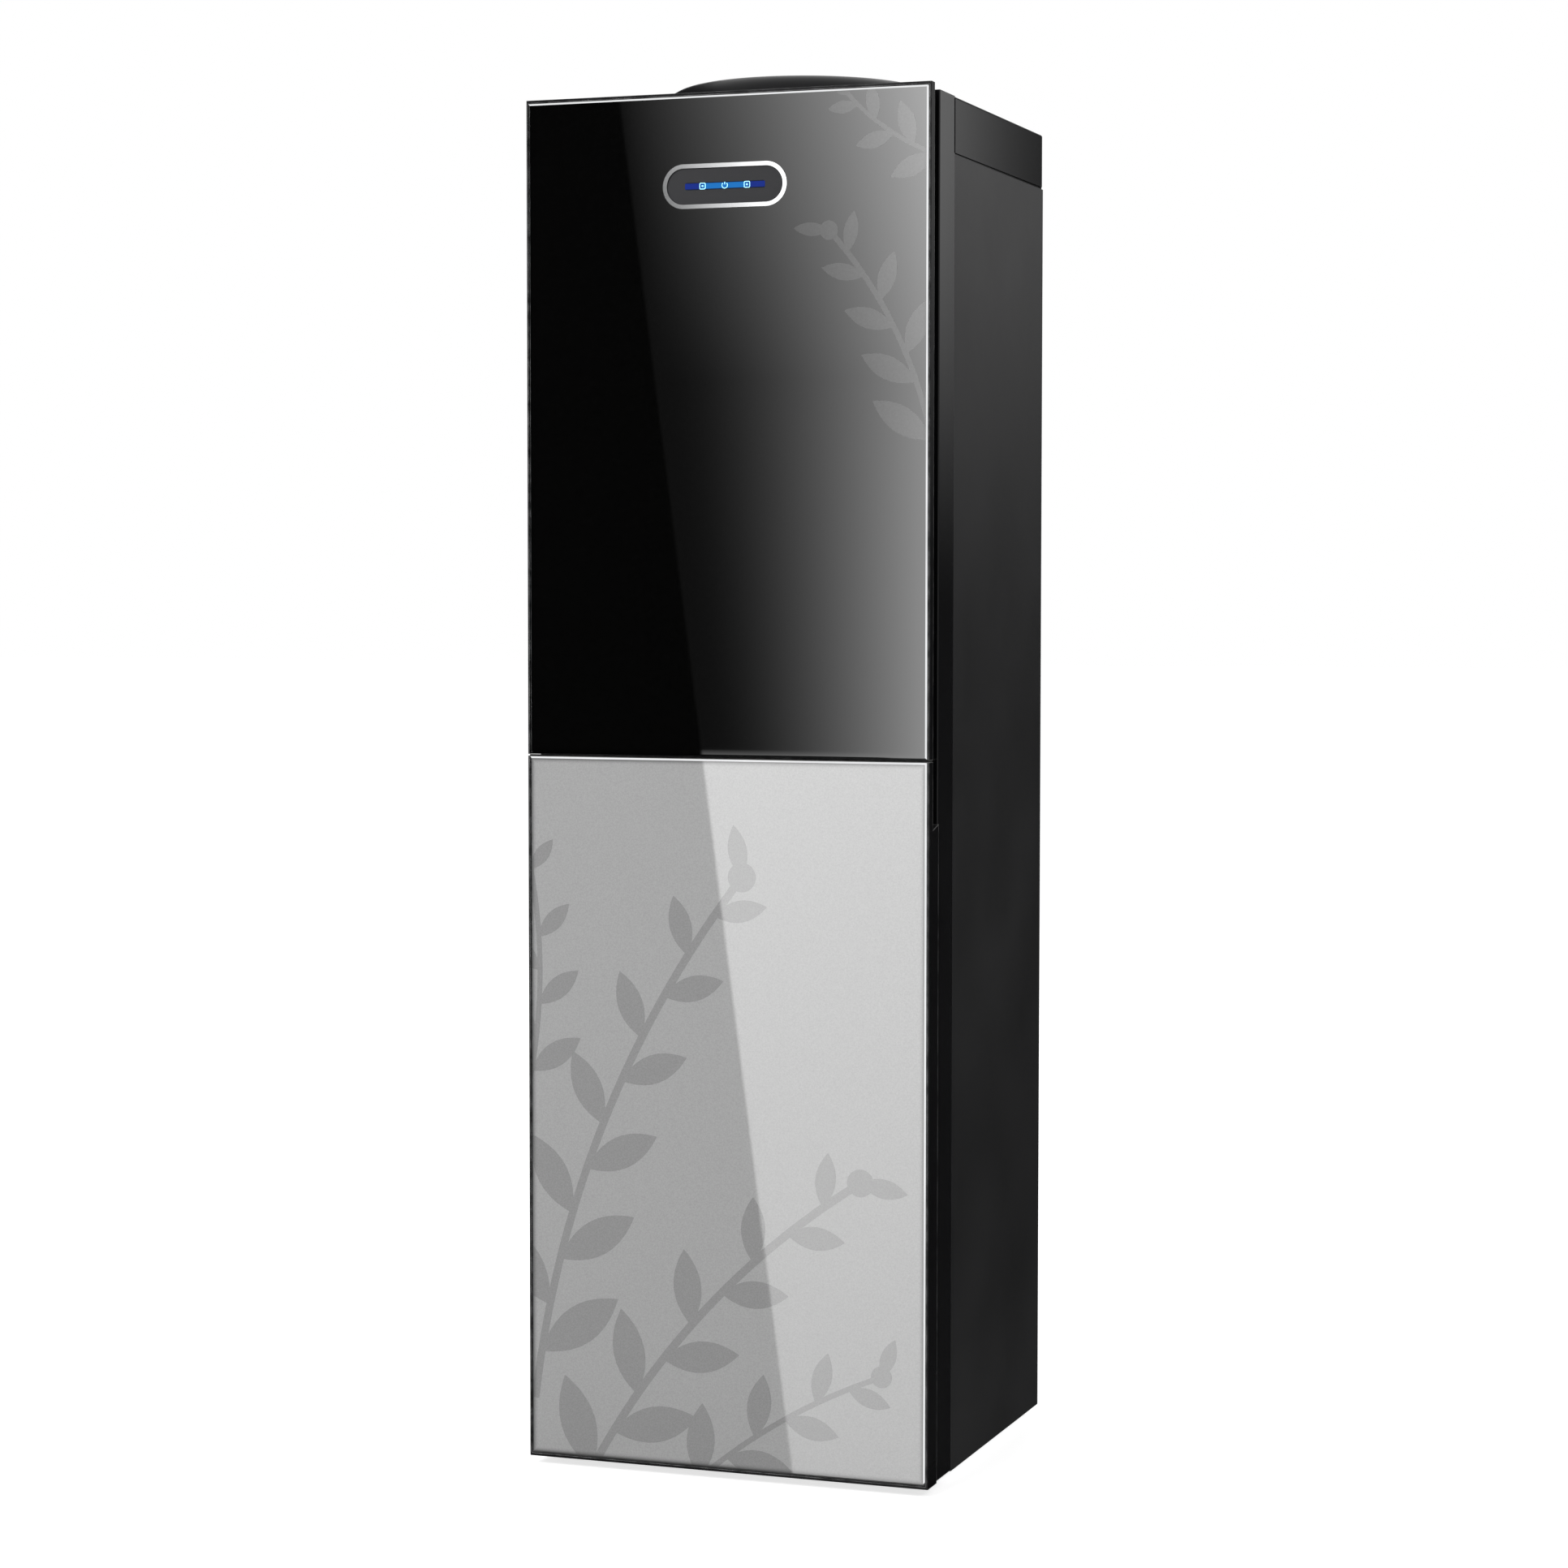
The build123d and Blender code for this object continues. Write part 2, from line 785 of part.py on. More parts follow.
def front_frame():
    """The moulded front of the cabinet, with both openings and the hinge slots."""
    frame = block((-body_half, body_half), (frame_front, frame_back), (base_top, body_top))
    frame = fillet(corner_edge(frame, -1, -1), frame_hinge_edge_radius)
    frame = fillet(corner_edge(frame, 1, -1), frame_latch_edge_radius)
    inner = body_half - frame_wall
    frame -= block((-inner, inner), (frame_inner, frame_back), (base_top + frame_wall, cap_underside))
    wide = (-niche_half, niche_half)
    frame -= block(wide, (frame_front, frame_inner), (niche_floor, niche_ceiling))
    frame -= block(wide, (frame_front, frame_inner), (cabinet_floor, cabinet_ceiling))
    slot = around(hinge_x, 2 * (hinge_arm_half_width + slip))
    tail = frame_inner + hinge_arm_tail + slip
    frame -= block(slot, (frame_front, tail), (base_top, base_top + frame_wall))
    frame -= block(slot, (frame_front, frame_inner), around(hinge_arm_split, middle_arm_sheet + 2 * slip))
    for y in arm_screw_places():
        frame -= upright(hinge_x, y, cap_underside, body_top, screw_radius + slip)
    for place in middle_screw_places():
        frame -= countersunk_screw(place, (0, -1, 0), running)
    for z in magnet_heights:
        frame -= block(*magnet_limits(z, 0))
    for x, y in foot_places():
        frame -= upright(x, y, base_top, base_top + frame_wall, foot_plug_radius + foot_barb + slip)
    return frame


magnet_heights = (cabinet_ceiling - magnet_inset, niche_floor + magnet_inset)


def magnet_limits(z, gap):
    """Limits of a magnet in the frame, facing the strike of its door."""
    wide = strike_limits(z)[0]
    tall = around(z, magnet_size[1])
    return (wide[0] + gap, wide[1] - gap), (frame_front, frame_inner), (tall[0] + gap, tall[1] - gap)


def door_magnets():
    """The two magnets that hold the doors shut."""
    return group(block(*magnet_limits(z, running)) for z in magnet_heights)


def top_cover():
    """The moulded cap with a shadow line above the side panels."""
    wide = body_half + cap_overhang
    cap = block((-wide, wide), (frame_back, casing_rear), (cap_bottom, body_top))
    cap = fillet([corner_edge(cap, side, 1) for side in (-1, 1)], cap_rear_radius)
    top_edges = cap.faces().sort_by(Axis.Z)[-1].edges()
    rounded = top_edges - top_edges.group_by(Axis.Y)[0]
    cap = fillet(rounded, cap_edge_radius)
    inner = wide - cap_wall
    hollow = (-inner, inner), (frame_back, casing_rear - cap_wall)
    cap -= block(*hollow, (cap_bottom, cap_underside))
    step = wide - cap_reveal_depth
    band = (cap_bottom, cap_bottom + cap_reveal_height)
    reveal = block((-wide, wide), (frame_back, casing_rear), band)
    reveal -= block((-step, step), (frame_back, casing_rear - cap_reveal_depth), band)
    return cap - reveal - upright(0, bottle_y, cap_underside, body_top, cap_hole_radius)


# Bottle seat

coil_radius = cold_tank_radius + apart + coil_tube_radius
insulation_bore = coil_radius + coil_tube_radius + apart
insulation_radius = insulation_bore + insulation_wall
bottle_y = panel_front - sheet - insulation_gap - insulation_radius
collar_top = body_top + collar_flank_radius
seat_top = collar_top - funnel_depth
seat_bottom = seat_top - seat_length
seat_outer_radius = seat_bore_radius + collar_wall


def bottle_collar():
    """The domed ring, its funnel and the tube that takes the bottle neck."""
    rim = collar_rim_radius
    base = rim + collar_flank_radius
    inner_rim = rim - collar_lip
    ledge_top = seat_bottom + collar_wall
    foot = base - 2 * collar_wall
    funnel_top = collar_top - collar_lip
    flank = RadiusArc((base, body_top), (rim, collar_top), -collar_flank_radius)
    lip = Line((rim, collar_top), (inner_rim, collar_top))
    fall = Polyline(
        (inner_rim, collar_top),
        (inner_rim - collar_lip, funnel_top),
        (seat_bore_radius, seat_top),
        (seat_bore_radius, ledge_top),
        (seat_bore_radius - seat_ledge, ledge_top),
        (seat_bore_radius - seat_ledge, seat_bottom),
        (seat_outer_radius, seat_bottom),
        (seat_outer_radius, seat_top - collar_wall),
        (inner_rim, funnel_top - 2 * collar_wall),
        (foot, body_top),
        (base, body_top),
    )
    face = make_face(Plane.XZ * (flank + lip + fall))
    return Pos(0, bottle_y, 0) * revolve(face, Axis.Z)


def bottle_spike():
    """The loose spike that opens the bottle cap, standing on the seat's ledge."""
    low = seat_bottom + collar_wall
    high = low + spike_height
    spike = upright(0, bottle_y, low, high - spike_tip, spike_radius)
    tip = Cone(spike_radius, spike_tip_radius, spike_tip, align=FROM_BASE)
    spike += Pos(0, bottle_y, high - spike_tip) * tip
    spike -= upright(0, bottle_y, low, high - spike_tip, spike_radius - collar_wall)
    outer = seat_bore_radius - apart
    foot = (0, bottle_y, low)
    spike += sleeve(foot, (0, bottle_y, low + spike_base), outer, outer - collar_wall)
    reach = (spike_radius - collar_wall / 2, outer - collar_wall / 2)
    spoke = block(reach, around(0, spike_spoke), (low, low + spike_base))
    hole_z = high - 2 * spike_tip
    hole = rod((0, 0, hole_z), (spike_radius + past, 0, hole_z), spike_hole_radius)
    for index in range(spike_holes):
        turn = Pos(0, bottle_y, 0) * Rot(0, 0, index * 360 / spike_holes)
        spike += turn * spoke
        spike -= turn * hole
    return spike


def tank_gasket_ring():
    """The soft ring between the tank rim and the cap."""
    outer = cold_tank_radius + tank_flange
    return sleeve((0, bottle_y, tank_rim), (0, bottle_y, cap_underside), outer, cold_tank_radius)


# Dispensing niche

spout_y = niche_back - tap_reach
tap_body_top = tap_z + tap_body_rise
tap_body_bottom = tap_z - tap_body_fall
spout_tip = tap_body_bottom - spout_length
lever_pin_z = tap_body_top + lever_pin_rise
shank_end = niche_outer_back + tap_shank_tail
nipple_start = shank_end - tap_nipple_length
lever_bottom = lever_pin_z - lever_sheet / 3
lever_top = lever_bottom + lever_sheet
hot_tap_x, cold_tap_x = spaced(0, tap_spread, 2)


def open_box(half, front, inner_back, low, high, wall):
    """A moulded box, open to the front, from its inner limits."""
    outer = half + wall
    box = block((-outer, outer), (front, inner_back + wall), (low - wall, high + wall))
    return box - block((-half, half), (front, inner_back), (low, high))


def tap_niche():
    """The recess behind the upper door."""
    niche = open_box(niche_half, frame_inner, niche_back, niche_floor, niche_ceiling, niche_wall)
    for x in (hot_tap_x, cold_tap_x):
        niche -= across(x, tap_z, niche_back, niche_outer_back, tap_shank_radius + slip)
    return niche


def tap_body(x):
    """A tap with a bored shank, a tapered spout and two ears for the lever."""
    tap = upright(x, spout_y, tap_body_bottom, tap_body_top, tap_body_radius)
    tap = fillet(tap.faces().sort_by(Axis.Z)[-1].edges(), lever_edge_radius)
    spout = Cone(spout_radius, tap_body_radius, spout_length, align=FROM_BASE)
    tap += Pos(x, spout_y, spout_tip) * spout
    tap += across(x, tap_z, spout_y, nipple_start, tap_shank_radius)
    tap += across(x, tap_z, nipple_start, shank_end, tap_nipple_radius)
    tap += across(x, tap_z, niche_back - tap_flange, niche_back, tap_flange_radius)
    for side in (-1, 1):
        inner = lever_hub_width / 2 + slip
        wide = sorted((x + side * inner, x + side * (inner + lever_ear)))
        tall = (tap_body_top - lever_edge_radius, lever_pin_z)
        ear = block(wide, around(spout_y, 2 * lever_hub_radius), tall)
        tap += ear + rod((wide[0], spout_y, lever_pin_z), (wide[1], spout_y, lever_pin_z), lever_hub_radius)
    tap -= lever_axis_rod(x, lever_pin_radius + running, lever_hub_width + 2 * lever_ear + past)
    tap -= upright(x, spout_y, spout_tip, tap_z, water_bore_radius)
    return tap - across(x, tap_z, spout_y, shank_end, water_bore_radius)


def lever_axis_rod(x, radius, length):
    """A bar on the lever axis of a tap."""
    ends = around(x, length)
    return rod((ends[0], spout_y, lever_pin_z), (ends[1], spout_y, lever_pin_z), radius)


def lever_pins():
    """The pins of both tap levers."""
    length = lever_hub_width + 2 * lever_ear
    return group(lever_axis_rod(x, lever_pin_radius, length) for x in (hot_tap_x, cold_tap_x))


def tap_lever(x):
    """A push-down paddle on a hub between the ears."""
    lever = lever_axis_rod(x, lever_hub_radius, lever_hub_width)
    neck = (spout_y - lever_neck_reach, spout_y)
    lever += block(around(x, lever_hub_width), neck, (lever_bottom, lever_top))
    paddle_span = (spout_y - lever_reach, spout_y - lever_neck_reach + past)
    paddle = block(around(x, lever_width), paddle_span, (lever_bottom, lever_top))
    paddle = fillet([corner_edge(paddle, side, -1) for side in (-1, 1)], lever_sheet)
    lever += fillet(paddle.faces().sort_by(Axis.Z)[-1].edges(), lever_edge_radius)
    return lever - lever_axis_rod(x, lever_pin_radius + running, lever_hub_width)


lock_floor = lever_top - lock_recess
lock_slot_back = spout_y - lever_neck_reach - lock_inset
lock_slot_front = lock_slot_back - lock_length - lock_travel - 2 * slip


def hot_tap_lever():
    """The hot lever, with the slot of the child lock."""
    slot = around(hot_tap_x, lock_width + 2 * slip)
    return tap_lever(hot_tap_x) - block(slot, (lock_slot_front, lock_slot_back), (lock_floor, lever_top))


def hot_lock_button():
    """The child lock that slides along the hot lever."""
    back = lock_slot_back - slip
    tall = (lock_floor, lock_floor + lock_height)
    button = block(around(hot_tap_x, lock_width), (back - lock_length, back), tall)
    return fillet(button.faces().sort_by(Axis.Z)[-1].edges(), lock_recess / 2)


tray_back = niche_back - tray_back_gap
tray_front = frame_front + tray_front_gap
tray_depth = tray_back - tray_front
tray_y = (tray_front + tray_back) / 2
tray_top = niche_floor + tray_height
tray_ledge = tray_top - grille_thickness


def rounded_plate(inset, low, high):
    """A plate with the tray's outline, moved inwards by an inset."""
    outline = RectangleRounded(tray_width - 2 * inset, tray_depth - 2 * inset, tray_corner - inset)
    return Pos(0, tray_y, low) * extrude(outline, high - low)


def drip_tray():
    """The loose tray, with a ledge for its grille."""
    tray = rounded_plate(0, niche_floor, tray_top)
    tray -= rounded_plate(tray_wall, tray_ledge, tray_top)
    return tray - rounded_plate(2 * tray_wall, niche_floor + tray_wall, tray_ledge)


def drip_grille():
    """The slotted grille that drops into the tray."""
    grille = rounded_plate(tray_wall + apart, tray_ledge, tray_top)
    length = tray_depth - 2 * (tray_wall + grille_rim)
    outline = SlotOverall(length, grille_slot_width, 90)
    slot = Pos(0, tray_y, tray_ledge) * extrude(outline, grille_thickness)
    for x in spaced(0, grille_slot_pitch * (grille_slots - 1), grille_slots):
        grille -= Pos(x, 0, 0) * slot
    return grille


# Storage cabinet

def cabinet_liner():
    """The box behind the lower door, with a rib on each side for the rack."""
    liner = open_box(niche_half, frame_inner, liner_back, cabinet_floor, cabinet_ceiling, liner_wall)
    for side in (-1, 1):
        wide = sorted((side * (niche_half - rib_width), side * niche_half))
        liner += block(wide, (frame_back, liner_back), (rack_rest - rib_height, rack_rest))
    return liner


rack_rest = cabinet_floor + rack_height


def wire_rack():
    """A rack of bars welded across a wire frame."""
    half = niche_half - rack_frame_radius - past
    front = frame_back + rack_frame_radius
    back = liner_back - rack_frame_radius - past
    z = rack_rest + rack_frame_radius + slip / 2
    loop = [(-half, front, z), (half, front, z), (half, back, z), (-half, back, z)]
    rack = sphere_at(loop[0]) + sphere_at(loop[1]) + sphere_at(loop[2]) + sphere_at(loop[3])
    for index, corner in enumerate(loop):
        rack += rod(loop[index - 1], corner, rack_frame_radius)
    top = z + rack_frame_radius - rack_rod_radius / 2
    for x in spaced(0, 2 * half * (rack_rods - 1) / (rack_rods + 1), rack_rods):
        rack += rod((x, front, top), (x, back, top), rack_rod_radius)
    return rack


def sphere_at(place):
    """A round corner of the rack frame."""
    return Pos(*place) * Sphere(rack_frame_radius)


# Water system

hose_bore_radius = tap_nipple_radius + running
hose_radius = hose_bore_radius + hose_wall
hot_x = hot_tank_offset
hot_y = panel_front - hot_tank_gap - hot_tank_radius
cold_outlet = (cold_tap_x, bottle_y + cold_outlet_offset)
feed_outlet = (feed_outlet_offset[0], bottle_y + feed_outlet_offset[1])
hot_outlet = (hot_tap_x, hot_y + hot_outlet_offset)
drain_z = hot_tank_floor - drain_drop
feed_inlet_z = hot_tank_floor + feed_inlet_rise


def cold_tank():
    """The open steel tank under the bottle, with two outlets in its floor."""
    tank = upright(0, bottle_y, tank_floor, tank_rim, cold_tank_radius)
    tank += upright(0, bottle_y, tank_rim - tank_flange_sheet, tank_rim, cold_tank_radius + tank_flange)
    tank -= upright(0, bottle_y, tank_floor + tank_wall, tank_rim, cold_tank_radius - tank_wall)
    for x, y in (cold_outlet, feed_outlet):
        tank += upright(x, y, tank_floor - nipple_length, tank_floor, tap_nipple_radius)
        tank -= upright(x, y, tank_floor - nipple_length, tank_floor + tank_wall, water_bore_radius)
    return tank


coil_low = tank_floor + coil_rise
coil_high = coil_low + coil_pitch * coil_turns


def cold_tank_insulation():
    """The foam jacket that the tank stands in, with ways through for hoses and coil ends."""
    top = tank_rim - insulation_drop
    foam = upright(0, bottle_y, tank_shelf_top, top, insulation_radius)
    foam -= upright(0, bottle_y, tank_floor, top, insulation_bore)
    for x, y in (cold_outlet, feed_outlet):
        foam -= upright(x, y, tank_shelf_top, tank_floor, hose_radius + apart)
    for end, z in zip(coil_ends(), (coil_low, coil_high)):
        foam -= rod((end[0], bottle_y, z), end, coil_tube_radius + apart)
    return foam


def coil_path():
    """The turns round the tank with a straight lead at each end."""
    turns = Helix(coil_pitch, coil_pitch * coil_turns, coil_radius)
    turns = Pos(0, bottle_y, coil_low) * Rot(0, 0, 180) * turns
    start, end = turns @ 0, turns @ 1
    lead_in = Line(start - (turns % 0) * coil_lead, start)
    lead_out = Line(end, end + (turns % 1) * coil_lead)
    return Wire([*lead_in.edges(), *turns.edges(), *lead_out.edges()])


def coil_ends():
    """The open ends of the coil's leads, left one first."""
    path = coil_path()
    return [tuple(path @ 0), tuple(path @ 1)]


def evaporator_coil():
    """The copper tube wound round the cold tank."""
    path = coil_path()
    section = Plane(origin=path @ 0, z_dir=path % 0) * Circle(coil_tube_radius)
    return sweep(section, path=path, is_frenet=True)


def hot_tank():
    """The closed hot tank with its outlet, inlet and drain pipes."""
    tank = upright(hot_x, hot_y, hot_tank_floor, hot_tank_roof, hot_tank_radius)
    span = (hot_tank_floor + tank_wall, hot_tank_roof - tank_wall)
    inner = upright(hot_x, hot_y, *span, hot_tank_radius - tank_wall)
    pipes = hot_tank_pipes(tap_nipple_radius)
    bores = hot_tank_pipes(water_bore_radius)
    return (tank + pipes) - inner - bores


def hot_tank_pipes(radius):
    """The three pipes of the hot tank at one radius."""
    outlet = upright(*hot_outlet, hot_tank_roof - tank_wall, hot_tank_roof + nipple_length, radius)
    drain = upright(hot_x, hot_y, hot_tank_floor - nipple_length, hot_tank_floor + tank_wall, radius)
    side = hot_x - hot_tank_radius
    inlet_end = (side - feed_inlet_reach, hot_y, feed_inlet_z)
    inlet = rod((side + 2 * tank_wall, hot_y, feed_inlet_z), inlet_end, radius)
    return outlet + drain + inlet


def hot_tank_bracket():
    """The bracket on the back panel that carries the hot tank."""
    low = hot_tank_floor - bracket_sheet
    wide = around(hot_x, bracket_width)
    bracket = block(wide, (hot_y - hot_tank_radius, panel_front), (low, hot_tank_floor))
    bracket += block(wide, (panel_front - bracket_sheet, panel_front), (low - bracket_flange, low))
    return bracket - upright(hot_x, hot_y, low, hot_tank_floor, hose_radius + apart)


def hose(points):
    """A soft hose pushed over pipe ends."""
    return bent_tube(points, hose_bend, hose_radius, hose_bore_radius)


def cold_hose():
    """From the cold tank down to the cold tap."""
    x, y = cold_outlet
    start = nipple_start + slip
    return hose([(x, start, tap_z), (x, y, tap_z), (x, y, tank_floor - slip)])


def hot_hose():
    """From the roof of the hot tank to the hot tap."""
    x, y = hot_outlet
    start = nipple_start + slip
    return hose([(x, start, tap_z), (x, y, tap_z), (x, y, hot_tank_roof + slip)])


def feed_hose():
    """From the cold tank to the side of the hot tank."""
    x, y = feed_outlet
    start = hot_x - hot_tank_radius - slip
    away = hot_x - hot_tank_radius - feed_hose_offset
    bend, rise = [tank_floor - drop for drop in feed_hose_drops]
    points = [(start, hot_y, feed_inlet_z), (away, hot_y, feed_inlet_z), (away, hot_y, bend)]
    return hose(points + [(x, y, rise), (x, y, tank_floor - slip)])


def drain_hose():
    """From the floor of the hot tank to the drain spout."""
    top = hot_tank_floor - bracket_sheet
    points = [(hot_x, hot_y, top), (hot_x, hot_y, drain_z), (drain_x, hot_y, drain_z)]
    return hose(points + [(drain_x, panel_front - slip, drain_z)])


spout_face = panel_rear + drain_flange
thread_end = spout_face + drain_thread


def drain_spout():
    """The drain outlet through the back panel."""
    spout = across(drain_x, drain_z, panel_front - nipple_length, panel_rear, tap_nipple_radius)
    spout += across(drain_x, drain_z, panel_rear, spout_face, drain_flange_radius)
    spout += across(drain_x, drain_z, spout_face, thread_end, drain_thread_radius)
    return spout - across(drain_x, drain_z, panel_front - nipple_length, thread_end, water_bore_radius)


def drain_cap():
    """The ribbed cap that turns on the drain spout."""
    outer = drain_thread_radius + running + drain_cap_wall
    front = spout_face + apart
    back = thread_end + apart + drain_cap_wall
    cap = across(drain_x, drain_z, front, back, outer)
    for index in range(drain_cap_ribs):
        turn = radians(index * 360 / drain_cap_ribs)
        rib_x = drain_x + outer * cos(turn)
        rib_z = drain_z + outer * sin(turn)
        cap += across(rib_x, rib_z, front, back, drain_rib_radius)
    return cap - across(drain_x, drain_z, front, thread_end + apart, drain_thread_radius + running)


# Cooling system

compressor_x = compressor_offset
compressor_y = panel_front - compressor_rear_room
foot_sheet_low = base_top + mount_height
foot_sheet_top = foot_sheet_low + compressor_foot_sheet
compressor_top = foot_sheet_top + compressor_height


def compressor_stub(angle, rise):
    """The start and end of a pipe end that leaves the compressor shell."""
    turn = radians(angle)
    z = foot_sheet_low + rise
    reaches = (compressor_radius - compressor_seam, compressor_radius + stub_length)
    return [(compressor_x + reach * cos(turn), compressor_y + reach * sin(turn), z) for reach in reaches]


def compressor():
    """The welded shell on its foot plate, with two pipe ends."""
    shell = upright(compressor_x, compressor_y, foot_sheet_top, compressor_top, compressor_radius)
    ends = shell.faces().filter_by(Axis.Z).edges()
    shell = fillet(ends, compressor_dome)
    middle = (foot_sheet_top + compressor_top) / 2
    seam = around(middle, 2 * compressor_seam)
    shell += upright(compressor_x, compressor_y, *seam, compressor_radius + compressor_seam)
    plate = RectangleRounded(*compressor_foot_size, compressor_foot_corner)
    plate = Pos(compressor_x, compressor_y, foot_sheet_low) * extrude(plate, compressor_foot_sheet)
    for x, y in compressor_bolt_places():
        plate -= upright(x, y, foot_sheet_low, foot_sheet_top, bolt_radius + apart)
    shell += plate
    for angle, rise in ((suction_angle, suction_rise), (discharge_angle, discharge_rise)):
        shell += rod(*compressor_stub(angle, rise), line_radius)
    return shell


def compressor_bolt_places():
    """Plan places of the four compressor mounts."""
    wide, deep = compressor_bolt_spread
    return [(x, y) for x in spaced(compressor_x, wide, 2) for y in spaced(compressor_y, deep, 2)]


def compressor_mounts():
    """Four waisted rubber mounts."""
    inner = bolt_radius + slip
    waist = mount_radius - mount_waist
    middle = base_top + mount_height / 2
    profile = [(inner, base_top), (mount_radius, base_top), (waist, middle), (mount_radius, foot_sheet_low)]
    profile += [(inner, foot_sheet_low)]
    return group(turned(profile, x, y) for x, y in compressor_bolt_places())


def relay_box():
    """The starter box on the side of the compressor."""
    start = compressor_x + compressor_radius + compressor_seam + apart
    low = foot_sheet_top + relay_box_rise
    wide, deep, tall = relay_box_size
    box = block((start, start + wide), around(compressor_y, deep), (low, low + tall))
    return fillet(box.edges(), relay_box_edge)


condenser_y = panel_rear + condenser_standoff
riser_x = condenser_half_width + condenser_riser_offset
condenser_low = deck_top + condenser_rise
condenser_high = cap_bottom - condenser_drop
condenser_riser_foot = deck_top - condenser_riser_drop
condenser_outlet_height = deck_top - condenser_outlet_drop
condenser_pitch = (condenser_high - condenser_low) / (condenser_runs - 1)


def condenser_tube():
    """One tube: up the right, to and fro down the back, out at the left."""
    path = [(riser_x, condenser_y, condenser_riser_foot), (riser_x, condenser_y, condenser_high)]
    side = 1
    for run in range(condenser_runs):
        z = condenser_high - run * condenser_pitch
        if run > 0:
            path.append((side * condenser_half_width, condenser_y, z))
        side = -side
        last = run == condenser_runs - 1
        path.append((side * (riser_x if last else condenser_half_width), condenser_y, z))
    path.append((-riser_x, condenser_y, condenser_outlet_height))
    path += [(drier_x, drier_y, drier_top + drier_neck), (drier_x, drier_y, drier_top)]
    return bent_tube(path, line_bend, condenser_tube_radius)


def condenser_wires():
    """Upright wires on both faces of the condenser tube."""
    offset = condenser_tube_radius + condenser_wire_radius + running
    low, high = condenser_low - condenser_wire_margin, condenser_high + condenser_wire_margin
    span = 2 * (condenser_half_width - condenser_wire_margin)
    widths = spaced(0, span, condenser_wires_per_face)
    places = [(x, condenser_y + side * offset) for side in (-1, 1) for x in widths]
    return group(upright(x, y, low, high, condenser_wire_radius) for x, y in places)


def condenser_brackets():
    """Four posts that hold the condenser off the back panel."""
    face = condenser_y - condenser_tube_radius - 2 * condenser_wire_radius - slip
    heights = (condenser_low + condenser_pitch, condenser_high - condenser_pitch)
    wide, tall = condenser_bracket_size
    return group(
        block(around(x, wide), (panel_rear, face), around(z, tall))
        for x in spaced(0, 2 * (condenser_half_width - wide), 2)
        for z in heights
    )


drier_x = -riser_x
drier_y = panel_front - drier_inset
drier_top = condenser_outlet_height - (condenser_y - drier_y) - drier_neck
drier_bottom = drier_top - drier_length
suction_riser = (panel_inner - suction_riser_inset[0], panel_front - suction_riser_inset[1])
capillary_riser = (capillary_riser_inset[0] - panel_inner, panel_front - capillary_riser_inset[1])


def filter_drier():
    """The copper drier below the condenser outlet."""
    drier = upright(drier_x, drier_y, drier_bottom, drier_top, drier_radius)
    return fillet(drier.faces().filter_by(Axis.Z).edges(), drier_radius / 2)


def discharge_line():
    """From the compressor to the foot of the condenser."""
    end = compressor_stub(discharge_angle, discharge_rise)[1]
    z = end[2]
    points = [end, ahead_of_stub(discharge_angle, discharge_rise), (condenser_half_width, condenser_y, z)]
    points += [(riser_x, condenser_y, z), (riser_x, condenser_y, condenser_riser_foot)]
    return bent_tube(points, line_bend / 2, condenser_tube_radius)


def ahead_of_stub(angle, rise):
    """A point further out on the axis of a compressor pipe end."""
    start, end = compressor_stub(angle, rise)
    return tuple(Vector(*end) + (Vector(*end) - Vector(*start)).normalized() * 2 * stub_length)


def suction_line():
    """From the top of the coil down to the compressor."""
    end = compressor_stub(suction_angle, suction_rise)[1]
    x, y = suction_riser
    coil_x, coil_y, coil_z = coil_ends()[1]
    points = [(coil_x, coil_y + slip, coil_z), (coil_x, y, coil_z), (x, y, coil_z), (x, y, end[2])]
    points += [ahead_of_stub(suction_angle, suction_rise), end]
    return bent_tube(points, line_bend, line_radius)


def capillary():
    """The thin tube from the drier up to the foot of the coil."""
    coil_x, coil_y, coil_z = coil_ends()[0]
    x, y = capillary_riser
    low = drier_bottom - capillary_drop
    points = [(drier_x, drier_y, drier_bottom), (drier_x, drier_y, low), (x, y, low), (x, y, coil_z)]
    points += [(coil_x, y, coil_z), (coil_x, coil_y + slip, coil_z)]
    return bent_tube(points, line_bend / 2, capillary_radius)


# Electrics at the back

switch_face = panel_rear + switch_flange
rocker_y = switch_face - rocker_pivot_sink
switch_z = cap_bottom - switch_drop


def switch_places():
    """Widths of the two switches."""
    return spaced(switch_inset - panel_inner, switch_spread, 2)


def switch_body_piece(x):
    """The housing of a rocker switch, with bearings for the rocker."""
    wide, tall = switch_size
    z = switch_z
    body = block(around(x, wide), (panel_rear, switch_face), around(z, tall))
    inner = (wide - 2 * switch_rim, tall - 2 * switch_rim)
    body += block(around(x, inner[0]), (panel_rear - switch_body, panel_rear), around(z, inner[1]))
    room = (rocker_width + 2 * apart, 2 * (rocker_half_height + rocker_clear))
    floor = rocker_y - rocker_fall - 2 * rocker_clear
    body -= block(around(x, room[0]), (floor, switch_face), around(z, room[1]))
    return body - trunnion(x, trunnion_radius + running, trunnion_reach + slip)


def trunnion(x, radius, reach):
    """A bar on the rocker axis that passes the rocker's sides."""
    ends = around(x, rocker_width + 2 * (apart + reach))
    return rod((ends[0], rocker_y, switch_z), (ends[1], rocker_y, switch_z), radius)


